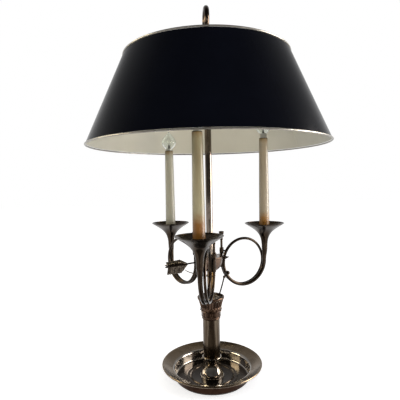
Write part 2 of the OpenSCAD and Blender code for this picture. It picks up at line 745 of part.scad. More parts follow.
module mouthpiece(turn) {
    cup_bottom = 0.45 * mouthpiece_h;
    throat_r = 1.2;
    color(dark_metal) at_horn(turn, coil_reach - coil_r, mouthpipe_x) translate([0, 0, mouthpipe_z])
        rotate_extrude() polygon([
            [0, 0], [coil_start_r + 0.5, 0], [coil_start_r + 0.8, 0.25 * mouthpiece_h],
            [mouthpiece_r - 0.3, 0.65 * mouthpiece_h], [mouthpiece_r, mouthpiece_h - 0.5],
            [mouthpiece_r - 0.5, mouthpiece_h], [mouthpiece_r - 1, mouthpiece_h],
            [mouthpiece_r - 1.8, 0.75 * mouthpiece_h], [throat_r, cup_bottom], [0, cup_bottom]]);
}

// Three blocks that hold the horns' inner turns against the hub's top plate
module horn_brackets() {
    inner_reach = coil_reach - coil_r;
    hub_edge_r = hub_d / 2 + 0.05;
    plate_top_z = hub_top_z - 1.6;
    face = inner_reach - coil_tube_r(2 / 3) - bracket_gap;
    pipe_face = inner_reach - coil_start_r - bracket_gap;
    middle = mouthpipe_x - coil_pitch / 2;
    color(dark_metal) for (turn = [front_horn_turn, right_horn_turn, left_horn_turn]) difference() {
        at_horn(turn) union() {
            translate([middle - bracket_w / 2, -face, plate_top_z - bracket_h])
                cube([bracket_w, face - hub_d / 2 + 6, bracket_h]);
            translate([mouthpipe_x - 2, -pipe_face, plate_top_z - bracket_h])
                cube([4, pipe_face - hub_d / 2 + 3, bracket_h]);
        }
        translate([0, 0, plate_top_z - bracket_h - 1]) cylinder(r = hub_edge_r, h = bracket_h + 2);
    }
}

/* ---- Candles ---- */

function sleeve_len(turn) = sleeve_h
    + (turn == right_horn_turn ? right_sleeve_more : turn == left_horn_turn ? -left_sleeve_less : 0);
function sleeve_top_z(turn) = sleeve_z + sleeve_len(turn);
function bulb_z(turn) = sleeve_top_z(turn) + drip_ring_t + (turn == right_horn_turn ? right_cap_stand : cap_stand);

module candle_cup(turn) {
    inner_r = sleeve_bottom_r + sleeve_clearance;
    outer_r = inner_r + cup_wall;
    color(dark_metal) at_horn(turn, bell_reach, bell_offset) rotate_extrude() polygon([
        [0, cup_z - cup_stud_l], [cup_stud_r, cup_z - cup_stud_l], [cup_stud_r, cup_z],
        [outer_r - 1.6, cup_z], [outer_r, cup_z + 3], [outer_r, sleeve_z + cup_wall_h],
        [inner_r, sleeve_z + cup_wall_h], [inner_r, sleeve_z], [0, sleeve_z]]);
}

module candle_riser(turn) {
    color(pale_metal) at_horn(turn, bell_reach, bell_offset) translate([0, 0, sleeve_z])
        cylinder(r = riser_r, h = sleeve_len(turn) - socket_h);
}

module candle_sleeve(turn) {
    top_z = sleeve_top_z(turn);
    color(candle_ivory) at_horn(turn, bell_reach, bell_offset) rotate_extrude() polygon([
        [sleeve_bottom_r, sleeve_z], [sleeve_top_r, top_z - 0.6], [sleeve_top_r - 0.5, top_z],
        [sleeve_top_r - sleeve_wall, top_z], [sleeve_bottom_r - sleeve_wall, sleeve_z]]);
}

module lamp_socket(turn) {
    ring_z = sleeve_top_z(turn);
    bottom_z = ring_z - socket_h;
    top_z = ring_z + drip_ring_t;
    floor_t = 2;
    color([0.25, 0.24, 0.22]) at_horn(turn, bell_reach, bell_offset) rotate_extrude() polygon([
        [0, bottom_z], [socket_r - 0.4, bottom_z], [socket_r, bottom_z + 1], [socket_r, ring_z],
        [sleeve_top_r - 0.1, ring_z], [sleeve_top_r - 0.1, top_z], [socket_r - socket_wall, top_z],
        [socket_r - socket_wall, bottom_z + floor_t], [0, bottom_z + floor_t]]);
}

module bulb_cap(turn) {
    cap_r = socket_r - socket_wall - cap_clearance;
    top_z = bulb_z(turn);
    color([0.75, 0.75, 0.72]) at_horn(turn, bell_reach, bell_offset) rotate_extrude() polygon([
        [0, top_z - cap_h], [2.4, top_z - cap_h], [cap_r, top_z - cap_h + 4], [cap_r, top_z], [0, top_z]]);
}

// Radius of the glass at share t of its length: a round belly drawn out to a flame's tip
belly_share = 0.36;
function glass_r(t) = t < belly_share
    ? bulb_neck_r + (bulb_r - bulb_neck_r) * pow(sin(90 * t / belly_share), 0.9)
    : bulb_r * pow(cos(90 * (t - belly_share) / (1 - belly_share)), 1.25);

module bulb_glass(turn) {
    steps = 18;
    base_z = bulb_z(turn);
    outside = [for (i = [0:steps]) [i == steps ? 0 : glass_r(i / steps), base_z + bulb_h * i / steps]];
    inside = [for (i = [steps - 3:-1:0]) [glass_r(i / steps) - glass_t, base_z + glass_t + bulb_h * i / steps]];
    color([0.8, 0.85, 0.88, 0.5]) at_horn(turn, bell_reach, bell_offset) rotate_extrude()
        polygon(concat(outside, [[0, base_z + bulb_h * (steps - 2) / steps]], inside, [[0, base_z + glass_t], [0, base_z]]));
}

/* ---- Arrow, bow and rod ---- */

// The arrow's own axis: +X is towards its head, and X = 0 is the lamp's axis
module on_arrow() {
    translate([0, 0, hub_z + arrow_rise]) rotate([0, -arrow_slope, 0]) children();
}
arrow_inner_x = -(hub_d / 2 - arrow_socket) - 0.5;
nock_l = 2;

module arrow_shaft() {
    color(dark_metal) on_arrow() translate([-arrow_tail, 0, 0]) rotate([0, 90, 0])
        cylinder(r = arrow_r, h = arrow_tail + arrow_inner_x);
}

// Three feathers with swept-back ends, each seated on the shaft
module arrow_feathers() {
    seat_r = arrow_r * cos(asin(feather_t / 2 / arrow_r)) + 0.08;
    color(pale_metal) on_arrow() for (turn = [60, 180, 300]) rotate([turn, 0, 0])
        translate([-arrow_tail + nock_l, feather_t / 2, 0]) rotate([90, 0, 0])
            linear_extrude(height = feather_t) polygon([
                [3, arrow_r + 0.08], [-1, 0.92 * feather_h + arrow_r], [0.66 * feather_l, feather_h + arrow_r],
                [feather_l, arrow_r + 0.08]]);
}

module arrow_head() {
    start_x = hub_d / 2 - arrow_socket + 0.5;
    color(dark_metal) on_arrow() translate([start_x, 0, 0]) rotate([0, 90, 0]) rotate_extrude() polygon([
        [0, 0], [arrow_r, 0], [arrow_r, arrow_socket + 1], [head_r, arrow_socket + 1 + 0.2 * head_l],
        [0, arrow_socket + 1 + head_l]]);
}

// A slender curved limb that springs from the small collar on the stem
module bow_limb() {
    steps = 12;
    mid_z = stem_collar_z + stem_collar_t / 2;
    start_x = -(stem_collar_d / 2 + 0.2);
    ends = [[start_x, 0, mid_z], [-0.55 * bow_reach, -1, mid_z + 0.36 * bow_tip_rise],
        [-0.84 * bow_reach, -3, mid_z + 0.46 * bow_tip_rise], [-bow_reach, -5, mid_z + bow_tip_rise]];
    path = [for (i = [0:steps]) bezier(ends, i / steps)];
    radii = [for (i = [0:steps]) bow_r * (1 - 0.35 * i / steps)];
    color(pale_metal) swept_tube(path, radii, 10, [0, 1, 0]);
}

// A slender rod standing in the quiver, with a ball where it meets the right horn and a knob
module quiver_rod() {
    steps = 8;
    turn = rod_nock * 360 / nock_count;
    foot_reach = bundle_r - nock_inset - nock_d / 2;
    foot = [foot_reach * cos(turn), foot_reach * sin(turn), bundle_z + 0.2];
    ball = [27.4, 8.6, mouth_z + rod_ball_rise];
    knob = ball + [7, -1.6, rod_knob_rise];
    path = [for (i = [0:steps]) bezier([foot, foot + [5, -1, 14], ball - [3, -0.6, 12], ball], i / steps)];
    color(dark_metal) union() {
        swept_tube(path, [for (p = path) rod_r], 10, [0, 1, 0]);
        swept_tube([ball, (ball + knob) / 2, knob], [rod_r, rod_r, rod_r], 10, [0, 1, 0]);
        translate(ball) sphere(d = rod_ball_d, $fn = 24);
        translate(knob) sphere(d = rod_knob_d, $fn = 24);
    }
}

/* ---- Shade and its carrier ---- */

module clamp_collar() {
    color(pale_metal) difference() {
        tube(clamp_d / 2, slide_hole_r, clamp_z, clamp_h);
        translate([0, 0, clamp_z + clamp_h / 2]) rotate([0, 90, 0])
            cylinder(r = clamp_screw_r + clamp_screw_clearance, h = clamp_d);
    }
}

// Clamp screw with a flat wing, along +X
module clamp_key() {
    tip_x = post_d / 2 + 0.4;
    shank_end_x = clamp_d / 2 + key_shank_l;
    color(pale_metal) translate([0, 0, clamp_z + clamp_h / 2]) union() {
        translate([tip_x, 0, 0]) rotate([0, 90, 0]) cylinder(r = clamp_screw_r, h = shank_end_x - tip_x + 2);
        translate([shank_end_x, 0, 0]) intersection() {
            translate([0, -key_wing_t / 2, -key_wing_w / 2]) cube([key_wing_l, key_wing_t, key_wing_w]);
            translate([key_wing_l - key_wing_w / 2, 0, 0]) rotate([90, 0, 0])
                cylinder(r = key_wing_w / 2 * 1.12, h = key_wing_w, center = true);
        }
    }
}

module spider_hub() {
    color(pale_metal) tube(spider_hub_d / 2, slide_hole_r, spider_hub_z, spider_hub_h);
}

module spider_arms() {
    color(pale_metal) for (i = [0:2]) rotate([0, 0, spider_turn + 120 * i]) difference() {
        translate([0, -arm_w / 2, spider_z - arm_t / 2])
            cube([spider_ring_r - spider_wire_r - 0.05, arm_w, arm_t]);
        translate([0, 0, spider_z - arm_t]) cylinder(r = spider_hub_d / 2 + 0.02, h = 2 * arm_t);
    }
}

module spider_ring() {
    color(pale_metal) translate([0, 0, spider_z]) rotate_extrude($fn = 180)
        translate([spider_ring_r, 0]) circle(r = spider_wire_r, $fn = 24);
}

module shade_shell() {
    wall = shade_t * sqrt(1 + pow(shade_slope, 2));
    color(black_enamel) rotate_extrude($fn = 180) polygon([
        [shade_r(shade_z + edge_room) - wall, shade_z + edge_room], [shade_r(shade_z + edge_room), shade_z + edge_room],
        [shade_r(shade_top_z - edge_room), shade_top_z - edge_room],
        [shade_r(shade_top_z - edge_room) - wall, shade_top_z - edge_room]]);
}
// Height of the sheet's edge from the end of the shade, where the rolled wire lies
edge_room = shade_bead_d - 0.1;

module shade_trim(z) {
    bead_r = shade_bead_d / 2;
    color(pale_metal) translate([0, 0, z]) rotate_extrude($fn = 180)
        translate([shade_r(z) - shade_t / 2, 0]) circle(r = bead_r, $fn = 24);
}
module shade_top_trim() { shade_trim(shade_top_z - shade_bead_d / 2); }
module shade_bottom_trim() { shade_trim(shade_z + shade_bead_d / 2); }

felt_pad();
dish();
pipe_washer();
pipe_nut();
lamp_pipe();
bell_foot();
cord_bushing();
collar();
column();
quiver();
arrow_bundle();
stem();
stem_collar();
hub();
post();
horn_coil(front_horn_turn);  // horn_coil_front
horn_coil(right_horn_turn);  // horn_coil_right
horn_coil(left_horn_turn);  // horn_coil_left
horn_bell(front_horn_turn);  // horn_bell_front
horn_bell(right_horn_turn);  // horn_bell_right
horn_bell(left_horn_turn);  // horn_bell_left
mouthpiece(front_horn_turn);  // mouthpiece_front
mouthpiece(right_horn_turn);  // mouthpiece_right
mouthpiece(left_horn_turn);  // mouthpiece_left
horn_brackets();
candle_cup(front_horn_turn);  // candle_cup_front
candle_cup(right_horn_turn);  // candle_cup_right
candle_cup(left_horn_turn);  // candle_cup_left
candle_riser(front_horn_turn);  // candle_riser_front
candle_riser(right_horn_turn);  // candle_riser_right
candle_riser(left_horn_turn);  // candle_riser_left
candle_sleeve(front_horn_turn);  // candle_sleeve_front
candle_sleeve(right_horn_turn);  // candle_sleeve_right
candle_sleeve(left_horn_turn);  // candle_sleeve_left
lamp_socket(front_horn_turn);  // lamp_socket_front
lamp_socket(right_horn_turn);  // lamp_socket_right
lamp_socket(left_horn_turn);  // lamp_socket_left
bulb_cap(front_horn_turn);  // bulb_cap_front
bulb_cap(right_horn_turn);  // bulb_cap_right
bulb_cap(left_horn_turn);  // bulb_cap_left
bulb_glass(front_horn_turn);  // bulb_glass_front
bulb_glass(right_horn_turn);  // bulb_glass_right
bulb_glass(left_horn_turn);  // bulb_glass_left
arrow_shaft();
arrow_feathers();
arrow_head();
bow_limb();
quiver_rod();
finial_base();
finial_ring();
clamp_collar();
clamp_key();
spider_hub();
spider_arms();
spider_ring();
shade_shell();
shade_top_trim();
shade_bottom_trim();
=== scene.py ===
"""Looks of a bouillotte lamp, dressed over its CAD frame.

A dished foot and a round column carry a quiver. Above it, three coiled hunting horns hold electric
candles under a black metal shade, which slides and turns on a bright post.
Blender works in metres, +Z up, with the front at -Y. Sizes in this file are millimetres.
"""

import logging
import math
import random
from collections.abc import Callable, Sequence
from dataclasses import dataclass, field
from enum import Enum

import bmesh
import bpy
from mathutils import Matrix, Vector


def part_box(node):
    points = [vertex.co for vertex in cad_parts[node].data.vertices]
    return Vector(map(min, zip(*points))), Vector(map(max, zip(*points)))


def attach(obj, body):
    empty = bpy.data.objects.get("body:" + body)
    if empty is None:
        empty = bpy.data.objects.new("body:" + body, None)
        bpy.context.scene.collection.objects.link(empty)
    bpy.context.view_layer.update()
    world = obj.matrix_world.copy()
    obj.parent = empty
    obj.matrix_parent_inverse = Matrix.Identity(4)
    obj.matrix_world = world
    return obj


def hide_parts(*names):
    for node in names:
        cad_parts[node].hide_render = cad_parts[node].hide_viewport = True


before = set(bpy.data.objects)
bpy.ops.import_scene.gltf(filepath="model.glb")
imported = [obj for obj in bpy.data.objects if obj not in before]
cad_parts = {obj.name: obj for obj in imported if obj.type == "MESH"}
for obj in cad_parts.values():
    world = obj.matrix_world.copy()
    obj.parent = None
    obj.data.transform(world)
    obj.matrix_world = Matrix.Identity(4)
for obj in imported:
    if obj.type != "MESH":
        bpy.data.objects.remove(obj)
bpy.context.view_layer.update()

log = logging.getLogger("lamp")
MM = 0.001
TAU = 2 * math.pi
# Points nearer than this, in millimetres, are one point
POLE = 1e-4
Colour = tuple[float, float, float, float]
Point = tuple[float, float]
Profile = Sequence[Point]
Relief = Callable[[float, float, float], float]
Vert = bmesh.types.BMVert
Node = bpy.types.Node
Socket = bpy.types.NodeSocket
Tree = bpy.types.NodeTree
Settings = dict[str | int, object]


# ---- Measuring the frame ----


def low(node: str) -> Vector:
    """Lowest corner of a CAD node, in millimetres."""
    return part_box(node)[0] / MM


def high(node: str) -> Vector:
    """Highest corner of a CAD node, in millimetres."""
    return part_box(node)[1] / MM


def round_size(node: str) -> tuple[float, float, float]:
    """Bottom, top and outside radius of a CAD node that is round about the lamp's axis."""
    return low(node).z, high(node).z, high(node).x


def half_width(node: str) -> float:
    """Outside radius of a CAD node that is round about an upright axis of its own."""
    return (high(node).x - low(node).x) / 2


def smooth(t: float) -> float:
    """Eases t, from 0 to 1, in and out."""
    t = min(max(t, 0.0), 1.0)
    return t * t * (3 - 2 * t)


def arc(centre: Point, radius: float, start: float, end: float, steps: int = 12) -> list[Point]:
    """Points of an arc in a profile.

    Args:
        centre: Its centre, as distance from the axis and height.
        radius: Its radius.
        start: First angle in degrees, from the outward direction towards up.
        end: Last angle in degrees.
        steps: Number of stretches.

    Returns:
        The points in order.
    """
    angles = [math.radians(start + (end - start) * i / steps) for i in range(steps + 1)]
    return [(centre[0] + radius * math.cos(a), centre[1] + radius * math.sin(a)) for a in angles]


def bezier(ends: Sequence[Vector], steps: int) -> list[Vector]:
    """Points of a cubic curve through four control points.

    Args:
        ends: The four control points.
        steps: Number of stretches.

    Returns:
        The points in order.
    """
    a, b, c, d = ends
    shares = [i / steps for i in range(steps + 1)]
    return [a * (1 - t) ** 3 + b * 3 * t * (1 - t) ** 2 + c * 3 * t * t * (1 - t) + d * t ** 3
            for t in shares]


# ---- Finishes ----


def linear(hex_colour: str) -> Colour:
    """Turns an sRGB hex colour into linear red, green, blue and alpha.

    Args:
        hex_colour: Seven characters such as #a09080.

    Returns:
        The linear colour with an alpha of 1.
    """
    channels = [int(hex_colour[i:i + 2], 16) / 255 for i in (1, 3, 5)]
    red, green, blue = [c / 12.92 if c <= 0.04045 else ((c + 0.055) / 1.055) ** 2.4 for c in channels]
    return red, green, blue, 1.0


def per_metre(size: float) -> float:
    """Texture scale that gives a pattern features of that many millimetres."""
    return 1 / (size * MM)


def add_node(tree: Tree, kind: str, settings: Settings | None = None,
             links: dict[str | int, Socket] | None = None) -> Node:
    """Adds a node with its settings and links.

    Args:
        tree: The tree that takes the node.
        kind: Type of the node.
        settings: Properties by name, and values of inputs by name or number.
        links: Sockets that feed the inputs, by name or number.

    Returns:
        The new node.
    """
    node = tree.nodes.new(kind)
    for key, value in (settings or {}).items():
        if isinstance(key, str) and hasattr(node, key):
            setattr(node, key, value)
        else:
            node.inputs[key].default_value = value
    for key, socket in (links or {}).items():
        tree.links.new(socket, node.inputs[key])
    return node


def own_place(tree: Tree) -> Socket:
    """Position of the shaded point on its own piece, in metres."""
    return add_node(tree, "ShaderNodeTexCoord").outputs["Object"]


def stretched(tree: Tree, place: Socket, factors: tuple[float, float, float]) -> Socket:
    """Position times a factor on each axis. A small factor draws a pattern out along that axis."""
    times = add_node(tree, "ShaderNodeVectorMath", {"operation": "MULTIPLY", 1: factors}, {0: place})
    return times.outputs[0]


def larger(tree: Tree, first: Socket, second: Socket) -> Socket:
    """The larger of two values."""
    return add_node(tree, "ShaderNodeMath", {"operation": "MAXIMUM"}, {0: first, 1: second}).outputs[0]


def noise(tree: Tree, place: Socket, size: float, detail: float = 2.0,
          more: Settings | None = None) -> Socket:
    """Adds an uneven pattern.

    Args:
        tree: The material's tree.
        place: Position of the shaded point in metres.
        size: Size of its features in millimetres.
        detail: How finely it breaks up.
        more: Further inputs of the node by name.

    Returns:
        A value between 0 and 1.
    """
    settings = {"Scale": per_metre(size), "Detail": detail, **(more or {})}
    return add_node(tree, "ShaderNodeTexNoise", settings, {"Vector": place}).outputs[0]


def ramp(tree: Tree, value: Socket, stretch: Point, result: Point, eased: bool = True) -> Socket:
    """Maps a stretch of a value to another stretch, and holds it beyond the ends.

    Args:
        tree: The tree that takes the node.
        value: The value to map.
        stretch: Where the stretch starts and ends.
        result: What comes out at its start and at its end.
        eased: Whether it eases in and out.

    Returns:
        The mapped value.
    """
    settings = {"interpolation_type": "SMOOTHSTEP" if eased else "LINEAR",
                1: stretch[0], 2: stretch[1], 3: result[0], 4: result[1]}
    return add_node(tree, "ShaderNodeMapRange", settings, {0: value}).outputs[0]


def blend(tree: Tree, share: Socket, first: str | Socket, second: str) -> Socket:
    """Mixes two colours.

    Args:
        tree: The material's tree.
        share: How much of the second colour shows.
        first: The first colour in hex, or the socket that gives it.
        second: The second colour in hex.

    Returns:
        The mixed colour.
    """
    settings: Settings = {"data_type": "RGBA", 7: linear(second)}
    links = {0: share}
    if isinstance(first, str):
        settings[6] = linear(first)
    else:
        links[6] = first
    return add_node(tree, "ShaderNodeMix", settings, links).outputs[2]


def bump(tree: Tree, height: Socket, depth: float, strength: float = 1.0) -> Socket:
    """The surface's normal once a pattern has raised it by that many millimetres."""
    return add_node(tree, "ShaderNodeBump", {"Strength": strength, "Distance": depth * MM},
                    {"Height": height}).outputs["Normal"]


class Grain(Enum):
    """How a metal surface was worked, which sets the lie of its fine lines."""

    CAST = "cast"
    SPUN = "spun"
    DRAWN = "drawn"

    def along(self, drawn: float) -> tuple[float, float, float]:
        """Factors that draw a pattern out along Z on drawn tube, and leave it alone elsewhere."""
        return 1, 1, drawn if self is Grain.DRAWN else 1


@dataclass(frozen=True)
class Finish:
    """A surface finish: what a thing is made of and how its surface was made."""

    name: str

    def material(self) -> bpy.types.Material:
        """Makes the material of this finish on first use.

        Returns:
            The material.
        """
        known = bpy.data.materials.get(self.name)
        if known:
            return known
        made = bpy.data.materials.new(self.name)
        made.use_nodes = True
        tree = made.node_tree
        tree.nodes.clear()
        shader = self.shader(tree)
        add_node(tree, "ShaderNodeOutputMaterial", links={"Surface": shader.outputs[0]})
        return made

    def shader(self, tree: Tree) -> Node:
        """Adds the nodes of this finish to a material's tree and returns the last one, its shader."""
        raise NotImplementedError


@dataclass(frozen=True)
class SilverPlate(Finish):
    """Silver plate on brass, long handled. It mirrors its surroundings under a warm brown tarnish in patches.
    Its hollows are darkened by tarnish and also by painted shade that deepens the relief, and its worked
    lines blur the mirror a little."""

    clean: str = "#a2988c"
    tarnish: str = "#54463a"
    tarnish_share: float = 0.5
    patch: float = 16.0
    roughness: float = 0.2
    roughness_swing: float = 0.14
    grain: Grain = Grain.CAST
    line: float = 0.9
    line_depth: float = 0.01
    # The hollows darken by tarnish and by painted shade: where it starts, how sharply, and how far
    hollow_edge: float = 0.497
    hollow_fade: float = 0.042
    hollow_share: float = 0.85
    dent: float = 7.0

    def lines(self, tree: Tree, place: Socket) -> Socket:
        """Adds the fine lines of the working: rings on spun work, long lines on drawn work.

        Args:
            tree: The material's tree.
            place: Position of the shaded point in metres.

        Returns:
            Their height, between 0 and 1.
        """
        if self.grain is not Grain.SPUN:
            return noise(tree, stretched(tree, place, self.grain.along(0.04)), self.line, 3.0)
        reach = add_node(tree, "ShaderNodeVectorMath", {"operation": "LENGTH"},
                         {0: stretched(tree, place, (1, 1, 0))})
        return add_node(tree, "ShaderNodeTexNoise",
                        {"noise_dimensions": "1D", "Scale": per_metre(self.line), "Detail": 3.0},
                        {"W": reach.outputs["Value"]}).outputs[0]

    def shader(self, tree: Tree) -> Node:
        """Adds tarnish in patches, tarnish and painted shade in the hollows, worked lines and a shader.

        Args:
            tree: The material's tree.

        Returns:
            The shader.
        """
        place = own_place(tree)
        clouds = noise(tree, stretched(tree, place, self.grain.along(0.12)), self.patch, 6.0,
                       {"Roughness": 0.62, "Distortion": 0.6})
        patches = ramp(tree, clouds, (0.40, 0.66), (0.0, self.tarnish_share))
        # Pointiness darkens the hollows: tarnish, and painted shade that deepens the relief
        curve = add_node(tree, "ShaderNodeNewGeometry").outputs["Pointiness"]
        hollow_tarnish_and_shade = ramp(tree, curve, (self.hollow_edge, self.hollow_edge - self.hollow_fade),
                       (0.0, self.hollow_share))
        colour = blend(tree, larger(tree, patches, hollow_tarnish_and_shade), self.clean, self.tarnish)
        rough = ramp(tree, clouds, (0.3, 0.75), (self.roughness, self.roughness + self.roughness_swing),
                     eased=False)
        relief = add_node(tree, "ShaderNodeMix", {"data_type": "FLOAT", 0: 0.5},
                          {2: noise(tree, place, self.dent), 3: self.lines(tree, place)})
        return add_node(tree, "ShaderNodeBsdfPrincipled", {"Metallic": 1.0},
                        {"Base Color": colour, "Roughness": rough,
                         "Normal": bump(tree, relief.outputs[0], self.line_depth)})


@dataclass(frozen=True)
class Enamel(Finish):
    """Stoved enamel on sheet metal: an even colour under a hard gloss with a faint orange peel."""

    colour: str = "#08080b"
    fade: str = "#0c0d12"
    cloud: float = 60.0
    roughness: float = 0.12
    roughness_swing: float = 0.06
    peel: float = 3.0
    peel_depth: float = 0.004
    specular: float = 0.5

    def shader(self, tree: Tree) -> Node:
        """Adds the faint clouds of the colour, the peel and a shader.

        Args:
            tree: The material's tree.

        Returns:
            The shader.
        """
        place = own_place(tree)
        clouds = noise(tree, place, self.cloud, 4.0)
        rough = ramp(tree, clouds, (0.2, 0.8), (self.roughness, self.roughness + self.roughness_swing),
                     eased=False)
        peel = noise(tree, place, self.peel, 1.0)
        return add_node(tree, "ShaderNodeBsdfPrincipled", {"IOR": 1.5, "Specular IOR Level": self.specular},
                        {"Base Color": blend(tree, clouds, self.colour, self.fade), "Roughness": rough,
                         "Normal": bump(tree, peel, self.peel_depth)})


@dataclass(frozen=True)
class CandleSleeve(Finish):
    """Moulded ivory candle sleeve. The lamp above has scorched its top to tan, and old varnish and heat have
    turned its foot amber. The edges of both wander up and down."""

    bottom: float = 277.0
    top: float = 464.0
    ivory: str = "#cbbf9f"
    streak: str = "#b9ad88"
    streak_size: float = 9.0
    scorch: str = "#85704a"
    scorch_length: float = 12.0
    amber: str = "#b0762a"
    amber_length: float = 60.0
    amber_fade: float = 26.0
    wander: float = 7.0
    wander_size: float = 6.0

    def shader(self, tree: Tree) -> Node:
        """Adds streaks, the scorched top, the amber foot and a shader.

        Args:
            tree: The material's tree.

        Returns:
            The shader.
        """
        place = own_place(tree)
        streaks = noise(tree, stretched(tree, place, (1, 1, 0.12)), self.streak_size, 4.0)
        height = add_node(tree, "ShaderNodeSeparateXYZ", links={0: place}).outputs["Z"]
        wave = add_node(tree, "ShaderNodeMath", {"operation": "MULTIPLY_ADD", 1: 2 * self.wander * MM},
                        {0: noise(tree, place, self.wander_size, 3.0), 2: height}).outputs[0]
        top = self.top * MM + self.wander * MM
        foot = self.bottom * MM + self.wander * MM
        amber_end = foot + self.amber_length * MM
        amber_start = foot + (self.amber_length - self.amber_fade) * MM
        scorched = ramp(tree, wave, (top - self.scorch_length * MM, top), (0.0, 0.95))
        ambered = ramp(tree, wave, (amber_end, amber_start), (0.0, 1.0))
        body = blend(tree, streaks, self.ivory, self.streak)
        colour = blend(tree, ambered, blend(tree, scorched, body, self.scorch), self.amber)
        return add_node(tree, "ShaderNodeBsdfPrincipled",
                        {"Roughness": 0.38, "IOR": 1.49, "Subsurface Weight": 0.08,
                         "Subsurface Radius": (0.003, 0.002, 0.001)},
                        {"Base Color": colour, "Normal": bump(tree, streaks, 0.15, 0.6)})


@dataclass(frozen=True)
class BlownGlass(Finish):
    """Clear blown lamp glass: thin, smooth and almost colourless, with bright edges."""

    tint: str = "#f4f8f6"
    wave: float = 8.0

    def shader(self, tree: Tree) -> Node:
        """Adds a faint waviness and a shader that lets light through.

        Args:
            tree: The material's tree.

        Returns:
            The shader.
        """
        waves = noise(tree, own_place(tree), self.wave)
        return add_node(tree, "ShaderNodeBsdfPrincipled",
                        {"Base Color": linear(self.tint), "Roughness": 0.01, "IOR": 1.5,
                         "Transmission Weight": 1.0}, {"Normal": bump(tree, waves, 0.05, 0.4)})


@dataclass(frozen=True)
class Plain(Finish):
    """A plain moulded, felted or plated stuff with a fine mottle."""

    colour: str = "#808080"
    mottle: str = "#707070"
    speck: float = 1.0
    metallic: float = 0.0
    roughness: float = 0.5
    depth: float = 0.02
    sheen: float = 0.0

    def shader(self, tree: Tree) -> Node:
        """Adds the mottle, its relief and a shader.

        Args:
            tree: The material's tree.

        Returns:
            The shader.
        """
        specks = noise(tree, own_place(tree), self.speck, 5.0)
        return add_node(tree, "ShaderNodeBsdfPrincipled",
                        {"Metallic": self.metallic, "Roughness": self.roughness, "Sheen Weight": self.sheen},
                        {"Base Color": blend(tree, specks, self.colour, self.mottle),
                         "Normal": bump(tree, specks, self.depth)})


# Spun sheet with fine rings, dulled by cleaning
SPUN_PLATE = SilverPlate("silver_plate_spun", grain=Grain.SPUN, roughness=0.18, tarnish_share=0.6,
                         clean="#7d6f5e", tarnish="#443728", line=3.0, line_depth=0.1)
# Floor of the dish, a darker copy of the plate: painted shade in the dish's recess
FLOOR_PLATE_PAINTED_SHADE = SilverPlate("silver_plate_dish_floor_painted_shade", grain=Grain.SPUN, roughness=0.16, tarnish_share=0.6,
                          clean="#463d34", tarnish="#221b15", line=2.2, line_depth=0.05)
# Polished wall of the dish, a lighter copy of the plate: painted light that brightens the windows it catches
WALL_PLATE_PAINTED_HIGHLIGHT = SilverPlate("silver_plate_dish_wall_painted_highlight", clean="#98928b", tarnish="#4d453d", roughness=0.07,
                         roughness_swing=0.06, tarnish_share=0.4, patch=22.0, line_depth=0.003)
# Polished bell foot and saucer, the brightest turned pieces: a lighter copy of the plate, painted light that
# brightens their mirrored highlights
POLISHED_PLATE_PAINTED_HIGHLIGHT = SilverPlate("silver_plate_polished_painted_highlight", clean="#cdc5ba", tarnish="#6d6155", roughness=0.06,
                             roughness_swing=0.06, tarnish_share=0.4, patch=22.0, line_depth=0.003)
# Dark reddish plate on the outside of the dish's wall, darkened as painted shade under the rim
UNDER_RIM_PLATE_PAINTED_SHADE = SilverPlate("silver_plate_under_rim_painted_shade", grain=Grain.SPUN, roughness=0.3, tarnish_share=0.6,
                              clean="#36261d", tarnish="#1e120c", line=1.1, line_depth=0.012)
# Turned and buffed bright, the best mirror on the lamp
BRIGHT_PLATE = SilverPlate("silver_plate_bright", clean="#7d7268", tarnish="#4c4239", roughness=0.07,
                           roughness_swing=0.06, tarnish_share=0.35, line_depth=0.004)
# Turned finial and its ring, almost black with handling
DARK_PLATE = SilverPlate("silver_plate_blackened", clean="#4b4037", tarnish="#221a15", roughness=0.14,
                         tarnish_share=0.6, line_depth=0.006)
# Drawn column tube, satin from polishing along its length
COLUMN_PLATE = SilverPlate("silver_plate_column", grain=Grain.DRAWN, clean="#665b4d", tarnish="#35291f",
                           roughness=0.11, tarnish_share=0.8, patch=9.0, line=0.7, line_depth=0.006)
# Bent horn tube, warm brown in its bends
HORN_PLATE = SilverPlate("silver_plate_horn", clean="#382f27", tarnish="#1d1712", roughness=0.13,
                         tarnish_share=0.6, line_depth=0.012)
# Turned hub, where the plate is thin and pinkish
HUB_PLATE = SilverPlate("silver_plate_hub", clean="#6f5c4f", tarnish="#33261e", roughness=0.17,
                        tarnish_share=0.6, line_depth=0.01)
# Cast ornament with a reddish tarnish that cleaning never reaches, and wider dark hollows of tarnish and
# painted shade
CAST_PLATE = SilverPlate("silver_plate_cast", clean="#5c493c", tarnish="#21140f", roughness=0.14,
                         tarnish_share=0.5, patch=18.0, line=1.6, line_depth=0.012, hollow_edge=0.504)
# Grey bloom on the small castings
BLOOM_PLATE = SilverPlate("silver_plate_bloom", clean="#7a7268", tarnish="#241d18", roughness=0.3,
                          tarnish_share=0.6, patch=5.0, line=1.4, line_depth=0.04)
# Cast feathers, black between their bright barbs with tarnish and painted shade in the hollows
FEATHER_PLATE = SilverPlate("silver_plate_feather", clean="#6d645a", tarnish="#15100d", roughness=0.2,
                            tarnish_share=0.9, patch=6.0, line=1.2, line_depth=0.02)
# Brass that shows where the plate on the stem has worn away
WORN_BRASS = SilverPlate("brass_worn_through_plate", grain=Grain.DRAWN, clean="#735935", tarnish="#3c2813",
                         roughness=0.2, tarnish_share=0.8, patch=9.0, line=0.8, line_depth=0.01)
# Buffed edge roll on the shade
TRIM_PLATE = SilverPlate("silver_plate_trim", clean="#8e8a83", tarnish="#5b5751", roughness=0.24,
                         tarnish_share=0.4, patch=12.0, line_depth=0.004)
